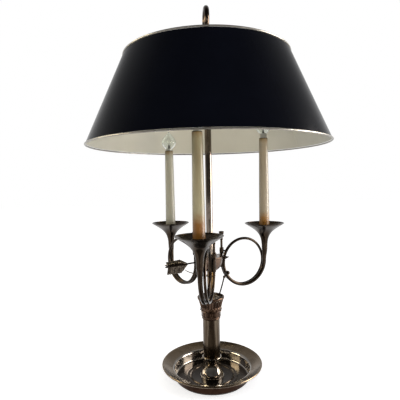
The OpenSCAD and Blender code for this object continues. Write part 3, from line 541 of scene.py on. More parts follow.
# Shade sheet, stoved black outside and cream inside
BLACK_ENAMEL = Enamel("enamel_black_stoved", colour="#06070c", fade="#090b13", specular=0.04, roughness=0.17)
CREAM_ENAMEL = Enamel("enamel_cream_stoved", colour="#d7d4c6", fade="#c9c5b4", roughness=0.42,
                      peel_depth=0.002)
# Blown bulbs
CLEAR_GLASS = BlownGlass("glass_blown_clear")
# Pipe, washer, nut, risers and spider wires
ZINC_STEEL = Plain("steel_zinc_plated", "#a3a3a0", "#8a8985", speck=2.0, metallic=1.0, roughness=0.35)
# Pad under the dish
WOOL_FELT = Plain("felt_wool_green", "#232c20", "#151b13", speck=0.6, roughness=0.95, depth=0.2, sheen=0.3)
# Cord bushing
PHENOLIC = Plain("phenolic_moulded_black", "#161412", "#211d19", speck=1.5, roughness=0.3)
# Lamp sockets, browned by heat
SOCKET_SHELL = Plain("brass_blackened", "#3a322a", "#1d1813", speck=2.2, metallic=1.0, roughness=0.42)
# Screw caps of the bulbs
ALUMINIUM_CAP = Plain("aluminium_pressed", "#c8c8c4", "#adaca6", speck=1.2, metallic=1.0, roughness=0.28)
# Filaments and their lead wires
TUNGSTEN = Plain("tungsten_drawn", "#6d6a66", "#55524e", speck=0.5, metallic=1.0, roughness=0.4)
# Grey sheet on the studio floor that only mirrors see: painted shade in reflections
PAINTED_SHADE_FLAG = Plain("flag_grey_painted_shade", "#a0988f", "#928a81", speck=3.0, roughness=0.95)


# ---- Making a piece ----


class Workpiece:
    """A mesh in the making, in millimetres, which becomes one piece of the lamp."""

    def __init__(self, name: str) -> None:
        """Starts an empty piece with that name."""
        self.name = name
        self.mesh = bmesh.new()
        self.layer = 0

    def vertex(self, x: float, y: float, z: float) -> Vert:
        """Adds a vertex."""
        return self.mesh.verts.new((x, y, z))

    def _face(self, corners: Sequence[Vert]) -> None:
        """Adds a face in the current finish, without doubled corners.

        Args:
            corners: Its corners in order.
        """
        own = list(dict.fromkeys(corners))
        if len(own) > 2 and self.mesh.faces.get(own) is None:
            self.mesh.faces.new(own).material_index = self.layer

    def _bridge(self, first: list[Vert], second: list[Vert]) -> None:
        """Joins two rings, or a ring and a pole, with faces.

        Args:
            first: The vertices of one ring, or the pole alone.
            second: The vertices of the other.
        """
        count = max(len(first), len(second))
        for k in range(count):
            after = (k + 1) % count
            self._face([first[k % len(first)], first[after % len(first)],
                        second[after % len(second)], second[k % len(second)]])

    def loft(self, rings: Sequence[list[Vert]], closed: bool = False, capped: bool = False) -> list[Vert]:
        """Joins rings one after the other.

        Args:
            rings: The rings in order.
            closed: Whether the last ring joins the first.
            capped: Whether the first and the last ring are filled.

        Returns:
            The vertices of all the rings.
        """
        for first, second in zip(rings, rings[1:]):
            self._bridge(first, second)
        if closed:
            self._bridge(rings[-1], rings[0])
        if capped:
            self._face(rings[0])
            self._face(rings[-1])
        return [v for ring in rings for v in ring]

    def blade(self, front: list[list[Vert]], back: list[list[Vert]]) -> None:
        """Makes a thin blade of two grids of vertices, closed round their edge.

        Args:
            front: The rows of its one side.
            back: The rows of its other side.
        """
        for grid in (front, back):
            for a, b in zip(grid, grid[1:]):
                for j in range(len(a) - 1):
                    self._face([a[j], a[j + 1], b[j + 1], b[j]])
        last, end = len(front) - 1, len(front[0]) - 1
        edge = [(i, 0) for i in range(last)] + [(last, j) for j in range(end)]
        edge += [(i, end) for i in range(last, 0, -1)] + [(0, j) for j in range(end, 0, -1)]
        rim = [(front[i][j], back[i][j]) for i, j in edge]
        for (f1, b1), (f2, b2) in zip(rim, rim[1:] + rim[:1]):
            self._face([f1, f2, b2, b1])

    def revolve(self, profile: Profile, segments: int = 128, relief: Relief | None = None,
                closed: bool = False) -> list[Vert]:
        """Turns a profile about the Z axis.

        Args:
            profile: Distance from the axis and height of each point.
            segments: Number of stretches round the axis.
            relief: Gives the distance for an angle, a distance and a height.
            closed: Whether the last point joins the first.

        Returns:
            The new vertices.
        """
        rings = []
        for reach, height in profile:
            if reach < POLE:
                rings.append([self.vertex(0, 0, height)])
                continue
            ring = []
            for k in range(segments):
                angle = TAU * k / segments
                r = relief(angle, reach, height) if relief else reach
                ring.append(self.vertex(r * math.cos(angle), r * math.sin(angle), height))
            rings.append(ring)
        return self.loft(rings, closed=closed)

    def sweep(self, path: Sequence[Vector], radii: Sequence[float], across: Vector,
              sides: int = 20) -> list[Vert]:
        """Runs a round section along a path.

        Args:
            path: Points of the centre line.
            radii: Radius of the section at each point.
            across: A direction that the path never follows.
            sides: Number of sides of the section.

        Returns:
            The new vertices.
        """
        rings = []
        last = len(path) - 1
        for i, (point, radius) in enumerate(zip(path, radii)):
            ahead = (path[min(i + 1, last)] - path[max(i - 1, 0)]).normalized()
            side = ahead.cross(across).normalized()
            up = side.cross(ahead)
            turns = [TAU * k / sides for k in range(sides)]
            rings.append([self.vertex(*(point + radius * (math.cos(a) * up + math.sin(a) * side)))
                          for a in turns])
        return self.loft(rings, capped=True)

    def ball(self, centre: Vector, radius: float, detail: int = 12) -> None:
        """Adds a ball.

        Args:
            centre: Its centre.
            radius: Its radius.
            detail: Number of bands from pole to pole.
        """
        bmesh.ops.create_uvsphere(self.mesh, u_segments=2 * detail, v_segments=detail, radius=radius,
                                  matrix=Matrix.Translation(centre))

    def slab(self, size: Vector, place: Matrix, edge: float) -> None:
        """Adds a block with rounded edges.

        Args:
            size: Its length along X, Y and Z.
            place: Where its centre goes and how it turns.
            edge: Radius of its edges.
        """
        made = bmesh.ops.create_cube(self.mesh, size=1.0, matrix=place @ Matrix.Diagonal((*size, 1)))
        edges = list({e for v in made["verts"] for e in v.link_edges})
        bmesh.ops.bevel(self.mesh, geom=edges, offset=edge, segments=3, affect="EDGES", profile=0.5)

    def move(self, place: Matrix, verts: Sequence[Vert] | None = None) -> None:
        """Moves some vertices, or the whole piece."""
        bmesh.ops.transform(self.mesh, matrix=place, verts=self.mesh.verts if verts is None else list(verts))

    def finish(self, finishes: Sequence[Finish], body: str = "stand", replaces: Sequence[str] = (),
               slot: str | None = None, crease: float = 34.0) -> bpy.types.Object:
        """Turns the mesh into a piece of the lamp.

        Args:
            finishes: The finishes, in the order of the face layers.
            body: The CAD body that carries it.
            replaces: The CAD nodes that it stands for.
            slot: The record's material slot. It is not used.
            crease: Angle in degrees above which an edge stays sharp.

        Returns:
            The new object.
        """
        bmesh.ops.remove_doubles(self.mesh, verts=self.mesh.verts, dist=POLE)
        bmesh.ops.recalc_face_normals(self.mesh, faces=self.mesh.faces)
        bmesh.ops.scale(self.mesh, vec=(MM, MM, MM), verts=self.mesh.verts)
        limit = math.radians(crease)
        for face in self.mesh.faces:
            face.smooth = True
        for edge in self.mesh.edges:
            edge.smooth = not (len(edge.link_faces) == 2 and edge.calc_face_angle() > limit)
        data = bpy.data.meshes.new(self.name)
        self.mesh.to_mesh(data)
        self.mesh.free()
        piece = bpy.data.objects.new(self.name, data)
        bpy.context.scene.collection.objects.link(piece)
        for one in finishes:
            data.materials.append(one.material())
        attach(piece, body)
        if replaces:
            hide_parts(*replaces)
        log.info("%s: %d faces on %s", self.name, len(data.polygons), body)
        return piece


def dress(node: str, finish: Finish) -> None:
    """Gives a CAD node that stays its finish."""
    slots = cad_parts[node].data.materials
    slots.clear()
    slots.append(finish.material())


def turn_piece(name: str, node: str, profile: Profile, segments: int, finish: Finish, slot: str,
               body: str = "stand", closed: bool = False, place: Matrix | None = None,
               crease: float = 34.0) -> None:
    """Turns a piece that stands for one CAD node.

    Args:
        name: Name of the piece.
        node: The CAD node that it stands for.
        profile: Distance from its axis and height of each point.
        segments: Number of stretches round its axis.
        finish: Its finish.
        slot: The record's material slot, which it passes on to the piece's finish.
        body: The CAD body that carries it.
        closed: Whether the profile's last point joins the first.
        place: Where it goes, when that isn't the lamp's axis.
        crease: Angle in degrees above which an edge stays sharp.
    """
    piece = Workpiece(name)
    piece.revolve(profile, segments, closed=closed)
    if place is not None:
        piece.move(place)
    piece.finish([finish], body, [node], slot, crease)


# ---- The lamp's sub-assemblies ----


@dataclass
class Foot:
    """The dished foot with its pipe fittings, bell foot, saucer collar and column."""

    sheet: float = 1.4
    floor_bend: float = 3.0
    shoulder_bend: float = 5.0
    wall_r: float = 73.5
    rim_bead: float = 1.8
    flange_drop: float = 5.0
    ridge_half: float = 2.4
    ridges: dict[float, float] = field(default_factory=lambda: {41.5: 1.8, 49.0: 0.9})
    boss_r: float = 12.0
    boss_rise: float = 9.2
    hole_r: float = 4.85
    neck_r: float = 14.2
    saucer_foot_r: float = 14.8
    seat_r: float = 17.3
    tube_wall: float = 1.6

    def build(self) -> None:
        """Builds every piece of the foot."""
        self.dish()
        self.bell()
        self.collar()
        self.column()
        dress("felt_pad", WOOL_FELT)
        dress("cord_bushing", PHENOLIC)
        for node in ("pipe_washer", "pipe_nut", "lamp_pipe"):
            dress(node, ZINC_STEEL)

    def dish(self) -> None:
        """Spins the dish: boss, ridged floor, wall, sloping flange and rolled rim."""
        floor = high("felt_pad").z + self.sheet
        rim, dish_r = high("dish").z, high("dish").x
        boss = low("bell_foot").z + self.boss_rise
        wall_in = self.wall_r - self.sheet
        flange = rim - 2 * self.rim_bead - self.flange_drop
        fillet = (wall_in - self.floor_bend, floor + self.floor_bend)
        shoulder = (wall_in + self.shoulder_bend + 0.8, flange - self.shoulder_bend)
        bead = (dish_r - self.rim_bead, rim - self.rim_bead)
        steps = 8
        upper = [(self.hole_r, boss), (self.boss_r, boss)]
        upper += [(self.boss_r + 1.5 * t / steps, boss - (boss - floor) * smooth(t / steps))
                  for t in range(1, steps + 1)]
        for reach, height in self.ridges.items():
            upper += [(reach + self.ridge_half * s / steps,
                       floor + height * (1 + math.cos(math.pi * s / steps)) / 2)
                      for s in range(-steps, steps + 1)]
        wall = arc(fillet, self.floor_bend, -90, 0) + arc(shoulder, self.shoulder_bend, 180, 100)
        lower = arc(shoulder, self.shoulder_bend - self.sheet, 100, 180)
        lower += arc(fillet, self.floor_bend + self.sheet, 0, -90)
        lower += [(self.boss_r + 0.1, floor - self.sheet), (self.boss_r - self.sheet, boss - self.sheet),
                  (self.hole_r, boss - self.sheet)]
        roll = arc(bead, self.rim_bead, 150, -100, 20)
        # Zones of one spun sheet: the rim in the plain plate, the outside under the rim darkened as painted
        # shade, the floor darkened as painted shade, and the wall lightened as painted highlight
        faces = {SPUN_PLATE: [wall[-1]] + roll, UNDER_RIM_PLATE_PAINTED_SHADE: [roll[-1]] + lower + [upper[0]],
                 FLOOR_PLATE_PAINTED_SHADE: upper + [wall[0]], WALL_PLATE_PAINTED_HIGHLIGHT: wall}
        piece = Workpiece("dish_spun")
        for layer, profile in enumerate(faces.values()):
            piece.layer = layer
            piece.revolve(profile, 256)
        piece.finish(list(faces), replaces=["dish"], slot="plated_brass")

    def bell(self) -> None:
        """Turns the bell foot with its flange and trumpet flare."""
        floor, top, foot_r = round_size("bell_foot")
        neck_r = self.neck_r
        flare_h = 0.8 * (top - floor)
        flare_out = foot_r - 1 - neck_r
        hollow_top = floor + 0.6 * (top - floor)
        profile = [(foot_r - 0.2, floor), (foot_r, floor + 0.3), (foot_r, floor + 1.2),
                   (foot_r - 0.3, floor + 1.8), (foot_r - 0.8, floor + 2)]
        profile += [(neck_r + flare_out * (1 + math.cos(math.pi * (i / 28) ** 0.8)) / 2,
                     floor + 2 + flare_h * i / 28) for i in range(29)]
        profile += [(neck_r, top - 2.4), (neck_r + 0.5, top - 1.8), (neck_r + 0.5, top - 0.6), (neck_r, top),
                    (self.hole_r, top), (self.hole_r, hollow_top), (neck_r - 3, hollow_top),
                    (foot_r - 7.6, floor)]
        turn_piece("bell_foot_turned", "bell_foot", profile, 160, POLISHED_PLATE_PAINTED_HIGHLIGHT, "polished_plate",
                   closed=True)

    def collar(self) -> None:
        """Turns the saucer collar that seats the column."""
        bottom, lip, lip_r = round_size("collar")
        seat = low("column").z
        foot_r = self.saucer_foot_r
        profile = [(self.hole_r, bottom), (foot_r, bottom)]
        profile += [(foot_r + (lip_r - foot_r) * math.sin(math.pi / 2 * i / 10),
                     bottom + (lip - 0.8 - bottom) * (i / 10) ** 1.5) for i in range(1, 11)]
        profile += arc((lip_r - 0.5, lip - 0.5), 0.5, 0, 90, 6)
        profile += [(lip_r - 1.2, lip - 0.1), (self.seat_r, seat + 0.1), (self.hole_r, seat)]
        turn_piece("collar_saucer", "collar", profile, 128, POLISHED_PLATE_PAINTED_HIGHLIGHT, "plated_brass", closed=True)

    def column(self) -> None:
        """Draws the column tube, with its edges eased."""
        bottom, top, outer = round_size("column")
        bore, ease = outer - self.tube_wall, 0.3
        profile = [(bore, bottom), (outer - ease, bottom), (outer, bottom + ease), (outer, top - ease),
                   (outer - ease, top), (bore, top)]
        turn_piece("column_tube", "column", profile, 160, COLUMN_PLATE, "column_plate", closed=True)


@dataclass(frozen=True)
class NockRing:
    """One ring of arrow nocks in the quiver's mouth, and which of them the rod takes the place of."""

    reach: float
    count: int
    radius: float
    gap: int | None = None


@dataclass
class Quiver:
    """The quiver capital with its leaves and flutes, and what stands in it."""

    waist_r: float = 20.0
    waist_rise: float = 16.5
    root_r: float = 16.9
    mouth_r: float = 26.4
    bore_r: float = 14.5
    seat_r: float = 14.9
    pipe_r: float = 4.9
    flutes: int = 24
    flute_depth: float = 1.9
    leaves: int = 12
    lower_leaves: int = 8
    wall: float = 2.4
    beads: int = 44
    bead_r: float = 1.0
    nock_rings: tuple[NockRing, ...] = (NockRing(19.2, 11, 3.1, gap=1), NockRing(12.4, 9, 2.7))

    def build(self) -> None:
        """Builds the quiver, the bundle of arrows and the slender rod."""
        self.body()
        self.bundle()
        self.rod()

    def body(self) -> None:
        """Casts the quiver body with flutes, a beaded lip and two rings of leaves."""
        foot, mouth = high("column").z, high("quiver").z
        waist, waist_r, root_r, mouth_r = foot + self.waist_rise, self.waist_r, self.root_r, self.mouth_r
        flute_low, flute_high = waist + 5, mouth - 3.4

        def relief(angle: float, reach: float, height: float) -> float:
            """Sinks the flutes into the wall.

            Args:
                angle: Angle round the axis.
                reach: Distance of the plain wall from the axis.
                height: Height of the point.

            Returns:
                Distance of the fluted wall from the axis.
            """
            share = (height - flute_low) / (flute_high - flute_low)
            if not 0 < share < 1:
                return reach
            ends = smooth(min(share, 1 - share) * 5)
            groove = 0.5 + 0.5 * math.cos(self.flutes * angle)
            return reach - self.flute_depth * ends * groove ** 0.7

        outside = [(root_r, foot), (root_r + 1.1, foot + 1), (root_r + 1.1, foot + 2.2),
                   (root_r + 0.6, foot + 3), (root_r + 1, foot + 5), (waist_r - 2, waist - 4),
                   (waist_r - 0.6, waist - 1), (waist_r, waist + 1), (waist_r, waist + 3)]
        outside += [(waist_r + 0.2 + (mouth_r - 1 - waist_r) * (i / 20) ** 1.15,
                     flute_low + (flute_high - flute_low) * (i / 20)) for i in range(21)]
        outside += [(mouth_r - 0.2, mouth - 2.6), (mouth_r, mouth - 2.2), (mouth_r, mouth - 0.6),
                    (mouth_r - 0.6, mouth)]
        inside = [(mouth_r - self.wall, mouth), (mouth_r - self.wall - 0.6, mouth - 7.2),
                  (self.bore_r, foot + 13), (self.bore_r, foot + 5), (self.pipe_r, foot + 5),
                  (self.pipe_r, foot - 5.9), (self.seat_r, foot - 5.9), (self.seat_r, foot)]
        piece = Workpiece("quiver_cast")
        piece.revolve(outside + inside, 256, relief, closed=True)
        self.bead_ring(piece, self.beads, mouth_r - 1.0, mouth - 3.6)
        self.bead_ring(piece, 2 * self.leaves, waist_r + 0.2, waist + 4.2)
        self.leaf_ring(piece, self.leaves, (foot + 5, waist + 2.6), (18.4, 22.3), 5.4)
        self.leaf_ring(piece, self.lower_leaves, (foot + 0.6, foot + 6.4), (17.6, 18.8), 6.2)
        piece.finish([CAST_PLATE], replaces=["quiver"], slot="plated_brass", crease=50)

    def bead_ring(self, piece: Workpiece, count: int, reach: float, height: float) -> None:
        """Adds a ring of beads.

        Args:
            piece: The piece that takes them.
            count: Number of beads.
            reach: Distance of their centres from the axis.
            height: Height of their centres.
        """
        for i in range(count):
            turn = Matrix.Rotation(TAU * i / count, 4, "Z")
            piece.ball(turn @ Vector((reach, 0, height)), self.bead_r, detail=6)

    @staticmethod
    def leaf_ring(piece: Workpiece, count: int, heights: Point, reaches: Point, half_width: float,
                  rows: int = 14, columns: int = 8, thickness: float = 0.55) -> None:
        """Adds a ring of upright leaves whose ribbed blades curl outwards at the tip.

        Args:
            piece: The piece that takes them.
            count: Number of leaves.
            heights: Height of their roots, and of the crest of the curl.
            reaches: Distance of the roots and of the tips from the axis.
            half_width: Half the width of a leaf at its widest.
            rows: Number of stretches along a leaf.
            columns: Number of stretches across it.
            thickness: Half its thickness.
        """
        bottom, top = heights
        root_r, tip_r = reaches
        for n in range(count):
            turn = TAU * n / count
            skins = []
            for skin in (thickness, -thickness):
                grid = []
                for i in range(rows + 1):
                    v = i / rows
                    lobes = 1 + 0.16 * math.cos(7 * math.pi * v)
                    width = half_width * math.sin(math.pi * (0.22 + 0.74 * v)) ** 0.8 * lobes
                    bend = math.pi * 0.62 * smooth((v - 0.62) / 0.38)
                    height = bottom + (top - bottom) * min(v / 0.8, 1) - 1.6 * (1 - math.cos(bend))
                    curl = 0.28 * v + 0.72 * smooth((v - 0.55) / 0.45)
                    out = root_r + (tip_r - root_r) * curl - thickness
                    row = []
                    for j in range(columns + 1):
                        u = 2 * j / columns - 1
                        rib = 0.7 * math.exp(-(u / 0.18) ** 2) + 0.35 * math.cos(2.5 * math.pi * u)
                        reach = out + skin + rib * (1 - 0.6 * v) * 0.6 - 0.5 * u * u
                        angle = turn + u * width / root_r
                        row.append(piece.vertex(reach * math.cos(angle), reach * math.sin(angle), height))
                    grid.append(row)
                skins.append(grid)
            piece.blade(*skins)

    def bundle(self) -> None:
        """Fills the mouth with the nocks of the arrows, each slotted for its string."""
        plate = high("quiver").z - 3.2
        outer, bore = high("arrow_bundle").x, 6.7
        chance = random.Random(7)
        piece = Workpiece("arrow_bundle_nocks")
        piece.revolve([(bore, plate - 4), (outer, plate - 4), (outer, plate - 1.1), (bore, plate - 1.1)], 96,
                      closed=True)
        for ring in self.nock_rings:
            for i in range(ring.count):
                if i == ring.gap:
                    continue
                angle = TAU * i / ring.count + chance.uniform(-0.03, 0.03)
                top = plate + chance.uniform(1.2, 2.4)
                centre = Vector((ring.reach * math.cos(angle), ring.reach * math.sin(angle), 0))
                self.nock(piece, centre, ring.radius, (plate - 2, top), chance.uniform(0, math.pi))
        piece.finish([BLOOM_PLATE], replaces=["arrow_bundle"], slot="bundle_plate", crease=40)

    @staticmethod
    def nock(piece: Workpiece, centre: Vector, radius: float, heights: Point, turn: float) -> None:
        """Adds one arrow nock: a short shaft with a string slot across its top.

        Args:
            piece: The piece that takes it.
            centre: Its place in the mouth.
            radius: Its radius.
            heights: Height of its foot and of its top.
            turn: Direction of its slot.
        """
        bottom, top = heights
        verts = piece.revolve([(radius, bottom), (radius, top - 0.5), (radius - 0.25, top - 0.1),
                               (radius - 0.6, top), (0.5 * radius, top), (0, top)], 24)
        for vertex in verts:
            across = vertex.co.x * math.cos(turn) + vertex.co.y * math.sin(turn)
            if vertex.co.z > top - 0.7 and abs(across) < 0.32 * radius:
                vertex.co.z = top - 1.5
        piece.move(Matrix.Translation(centre), verts)

    @staticmethod
    def rod() -> None:
        """Draws the slender rod with its ball and knob."""
        foot = Vector((16.3, 10.5, low("quiver_rod").z))
        ball = Vector((27.4, 8.6, high("quiver").z + 35))
        knob = Vector((34.4, 7.0, high("quiver_rod").z - 4.2))
        path = bezier([foot, foot + Vector((5, -1, 14)), ball - Vector((3, -0.6, 12)), ball], 24)
        piece = Workpiece("quiver_rod_turned")
        piece.sweep(path, [1.4] * len(path), Vector((0, 1, 0)))
        neck = [ball.lerp(knob, i / 8) for i in range(9)]
        piece.sweep(neck, [1.5 - 0.3 * math.sin(math.pi * i / 8) for i in range(9)], Vector((0, 1, 0)))
        piece.ball(ball, 2.8)
        piece.ball(knob, 4.2)
        piece.finish([HORN_PLATE], replaces=["quiver_rod"], slot="horn_plate")


@dataclass
class Stem:
    """The stem with its small collar, the hub with its brackets, and the post."""

    pipe_r: float = 4.85
    collar_bore: float = 6.55
    hub_neck_r: float = 14.0
    stud_r: float = 3.1
    bracket_reach: float = 28.1
    bracket_side: float = 8.1
    bracket_width: float = 13.2
    bracket_sunk: float = 0.9
    bracket_edge: float = 1.2

    def build(self) -> None:
        """Builds the pieces from the quiver up to the post."""
        self.stem()
        self.stem_collar()
        self.hub()
        self.post()
        self.brackets()

    def stem(self) -> None:
        """Draws the stem tube with two scored rings."""
        bottom, top, outer = round_size("stem")
        profile = [(outer, bottom)]
        for ring in (top - 48.0, top - 6.0):
            profile += [(outer, ring - 0.8), (outer - 0.35, ring), (outer, ring + 0.8)]
        profile += [(outer, top), (self.pipe_r, top), (self.pipe_r, bottom)]
        turn_piece("stem_tube", "stem", profile, 96, WORN_BRASS, "bare_brass", closed=True, crease=20)

    def stem_collar(self) -> None:
        """Turns the small collar on the stem."""
        bottom, top, outer = round_size("stem_collar")
        profile = [(self.collar_bore, bottom), (8, bottom), (outer - 0.6, bottom + 0.7)]
        profile += arc((outer - 0.5, top - 0.5), 0.5, -40, 90, 8) + [(self.collar_bore, top)]
        turn_piece("stem_collar_turned", "stem_collar", profile, 96, HORN_PLATE, "plated_brass", closed=True)

    def hub(self) -> None:
        """Turns the hub: a round bowl under a flat plate."""
        bottom, top, outer = round_size("hub")
        plate = top - 4.6
        stem_r, neck_r = high("stem").x, self.hub_neck_r
        turns = [math.radians(a) for a in range(15, 91, 5)]
        profile = [(self.pipe_r, bottom), (stem_r + 1, bottom)]
        profile += [(stem_r + 1 + (outer - 2 - stem_r) * math.sin(a),
                     bottom + 0.8 + (plate - bottom - 1.6) * (1 - math.cos(a))) for a in turns]
        profile += [(outer - 0.7, plate), (outer, plate + 0.6), (outer, plate + 2.5),
                    (outer - 0.6, plate + 3), (neck_r, plate + 3)]
        profile += [(neck_r - 5 * smooth(i / 6), plate + 3 + 1.6 * i / 6) for i in range(1, 7)]
        turn_piece("hub_turned", "hub", profile + [(self.pipe_r, top)], 128, HUB_PLATE, "plated_brass",
                   closed=True)

    def post(self) -> None:
        """Draws the bright post that the shade slides on."""
        bottom, top, outer = round_size("post")
        profile = [(self.pipe_r, bottom), (outer, bottom), (outer, top - 0.4), (outer - 0.4, top),
                   (self.stud_r, top)]
        turn_piece("post_drawn", "post", profile, 96, BRIGHT_PLATE, "post_plate", closed=True)

    def brackets(self) -> None:
        """Rounds the three brackets that carry the horns."""
        top, bottom = high("horn_brackets").z, low("horn_brackets").z
        hub_r = high("hub").x
        length = self.bracket_reach - hub_r + self.bracket_sunk
        size = Vector((self.bracket_width, length, top - bottom - 0.4))
        middle = -(self.bracket_reach + hub_r - self.bracket_sunk) / 2 - 0.1
        centre = Matrix.Translation(Vector((self.bracket_side, middle, (top + bottom) / 2)))
        piece = Workpiece("horn_brackets_cast")
        for horn in HORNS:
            piece.slab(size, horn.frame() @ centre, self.bracket_edge)
        piece.finish([HORN_PLATE], replaces=["horn_brackets"], slot="horn_plate")


@dataclass(frozen=True)
class Horn:
    """One coiled hunting horn with the candle that stands in its bell."""

    side: str
    coil_r: float = 46.8
    coil_reach: float = 78.5
    pitch: float = 7.8
    offset: float = 0.3
    lean: float = 1.5
    stay_rise: float = 25.0
    bell_h: float = 55.0
    bell_lift: float = 75.8
    bell_sheet: float = 1.2
    start_r: float = 2.4
    end_r: float = 4.2
    neck_r: float = 5.7
    bell_r: float = 40.3
    flare_depth: float = 15.8
    flare_power: float = 1.4
    cup_stud: float = 20.0
    cup_wall: float = 0.9
    sleeve_top_r: float = 8.9
    sleeve_wall: float = 0.9
    socket_r: float = 7.6
    socket_bore: float = 7.0
    bulb_neck_r: float = 6.2
    bulb_belly: float = 0.36
    glass: float = 0.7
    ivory: str = "#aaa587"
    streak: str = "#7e6c4b"
    amber: str = "#7c4f10"
    amber_length: float = 62.0

    def node(self, part: str) -> str:
        """Name of this horn's CAD node for a part."""
        return f"{part}_{self.side}"

    def axis(self) -> Vector:
        """Centre of the bell in plan."""
        centre = (low(self.node("horn_bell")) + high(self.node("horn_bell"))) / 2
        return Vector((centre.x, centre.y, 0))

    def on_axis(self) -> Matrix:
        """Moves a piece from the lamp's axis to the bell's."""
        return Matrix.Translation(self.axis())

    def frame(self) -> Matrix:
        """Turn of this horn: X is sideways and -Y is away from the lamp's axis."""
        axis = self.axis()
        turn = math.atan2(axis.x, -axis.y) - math.asin(self.offset / axis.length)
        return Matrix.Rotation(turn, 4, "Z")

    def coil_z(self) -> float:
        """Height of the coil's centre."""
        return low(self.node("horn_bell")).z + self.bell_h - self.bell_lift

    def mouthpipe(self, height: float) -> Vector:
        """Point on the axis of the upright mouthpipe, in the horn's own frame."""
        return Vector((self.offset + 1.5 * self.pitch, -(self.coil_reach - self.coil_r), height))

    def build(self) -> None:
        """Builds the horn and its candle."""
        self.coil()
        self.bell()
        self.mouthpiece()
        self.cup()
        self.candle()
        self.socket()
        self.bulb()
        dress(self.node("candle_riser"), ZINC_STEEL)

    def coil(self) -> None:
        """Bends the tube: down from the mouthpiece, one and a half turns round, and up to the bell."""
        steps, rise_steps, drop_steps = 240, 12, 6
        centre = self.coil_z()
        pipe_top = low(self.node("mouthpiece")).z
        path = [self.mouthpipe(pipe_top + (centre - pipe_top) * i / drop_steps) for i in range(drop_steps)]
        radii = [self.start_r] * drop_steps
        for i in range(steps + 1):
            t = i / steps
            angle = math.radians(180 + 540 * t)
            path.append(Vector((self.offset + 1.5 * self.pitch * (1 - t),
                                -(self.coil_reach + self.coil_r * math.cos(angle)),
                                centre + self.coil_r * math.sin(angle))))
            radii.append(self.start_r + (self.end_r - self.start_r) * t ** 2.2)
        neck = low(self.node("horn_bell")).z
        for i in range(1, rise_steps + 1):
            t = i / rise_steps
            path.append(Vector((self.offset, -(self.coil_reach + self.coil_r + self.lean * smooth(t)),
                                centre + (neck - centre) * t)))
            radii.append(self.end_r + (self.neck_r - self.end_r) * t ** 1.6)
        piece = Workpiece(self.node("horn_tube"))
        piece.sweep(path, radii, Vector((1, 0, 0)), 28)
        self.stay(piece, centre + self.stay_rise)
        piece.move(self.frame())
        piece.finish([HORN_PLATE], replaces=[self.node("horn_coil")], slot="horn_plate")

    def stay(self, piece: Workpiece, height: float) -> None:
        """Adds the short stay that ties the mouthpipe to the coil, and the ferrule on the pipe.

        Args:
            piece: The horn tube.
            height: Height of the stay.
        """
        pipe = self.mouthpipe(height)
        coil = Vector((self.offset + 0.5 * self.pitch,
                       -(self.coil_reach - math.sqrt(self.coil_r ** 2 - self.stay_rise ** 2)), height))
        path = [pipe.lerp(coil, i / 8) for i in range(9)]
        piece.sweep(path, [1.5 + 0.6 * abs(2 * i / 8 - 1) ** 2 for i in range(9)], Vector((0, 0, 1)), 16)
        half = [(2.3, 6.5), (3.9, 6.3), (4.5, 4.8), (4.2, 3.6)]
        ferrule = [(r, -z) for r, z in half] + [(4.6, 0)] + half[::-1]
        piece.move(Matrix.Translation(pipe), piece.revolve(ferrule, 40))

    def flare(self, depth: float) -> float:
        """Outside radius of the bell at a depth below its rim."""
        share = math.exp(-(depth / self.flare_depth) ** self.flare_power)
        return self.neck_r + (self.bell_r - self.neck_r) * share

    def bell(self) -> None:
        """Spins the bell with its rolled rim and the hollow that holds the candle cup."""
        neck = low(self.node("horn_bell")).z
        rim = neck + self.bell_h
        depth = rim - (low(self.node("candle_cup")).z + self.cup_stud) + 1
        drops = [self.bell_h * (1 - i / 60) ** 1.3 for i in range(60)]
        depths = [depth * i / 40 for i in range(1, 41)]
        profile = [(0, neck)] + [(self.flare(drop), rim - drop) for drop in drops]
        profile += [(self.bell_r - 0.4, rim - 1.2)] + arc((self.bell_r - 0.5, rim - 0.5), 1.0, 20, 200, 14)
        profile += [(self.flare(d) - self.bell_sheet * math.sqrt(1 + 4 * math.exp(-d / 9)), rim - d)
                    for d in depths] + [(0, rim - depth)]
        turn_piece(self.node("horn_bell_spun"), self.node("horn_bell"), profile, 160, HORN_PLATE,
                   "horn_plate", place=self.on_axis())

    def mouthpiece(self) -> None:
        """Turns the mouthpiece."""
        node = self.node("mouthpiece")
        bottom, height = low(node).z, high(node).z - low(node).z
        profile = [(0, 0), (2.9, 0), (3.3, 0.8), (2.9, 1.6), (2.9, 0.3 * height), (3.4, 0.38 * height),
                   (3.0, 0.46 * height), (4.2, 0.62 * height), (4.9, 0.74 * height), (5.0, height - 2.4)]
        profile += arc((4.6, height - 0.6), 0.6, -10, 150, 8)
        profile += [(3.4, 0.75 * height), (1.2, 0.45 * height), (0, 0.45 * height)]
        turn_piece(self.node("mouthpiece_turned"), node, profile, 64, HORN_PLATE, "horn_plate",
                   place=self.frame() @ Matrix.Translation(self.mouthpipe(bottom)))

    def cup(self) -> None:
        """Turns the candle cup with its stud."""
        node = self.node("candle_cup")
        bottom, top, outer = low(node).z, high(node).z, half_width(node)
        sleeve = low(self.node("candle_sleeve")).z
        inner, foot = outer - self.cup_wall, sleeve - 1.5
        profile = [(0, bottom), (3.5, bottom), (3.5, foot), (outer - 1.6, foot)]
        profile += [(outer - 1.6 + 1.6 * math.sin(math.pi / 2 * i / 6), foot + 3 * i / 6)
                    for i in range(1, 7)]
        profile += [(outer, top - 0.7), (outer - 0.2, top), (inner, top), (inner, sleeve), (0, sleeve)]
        turn_piece(self.node("candle_cup_turned"), node, profile, 96, CAST_PLATE, "plated_brass",
                   place=self.on_axis())

    def candle(self) -> None:
        """Moulds the tapered candle sleeve, a little wavy like a dipped candle."""
        node = self.node("candle_sleeve")
        bottom, top = low(node).z, high(node).z
        bottom_r, top_r = half_width(node), self.sleeve_top_r
        phase = random.Random(self.side).uniform(0, TAU)

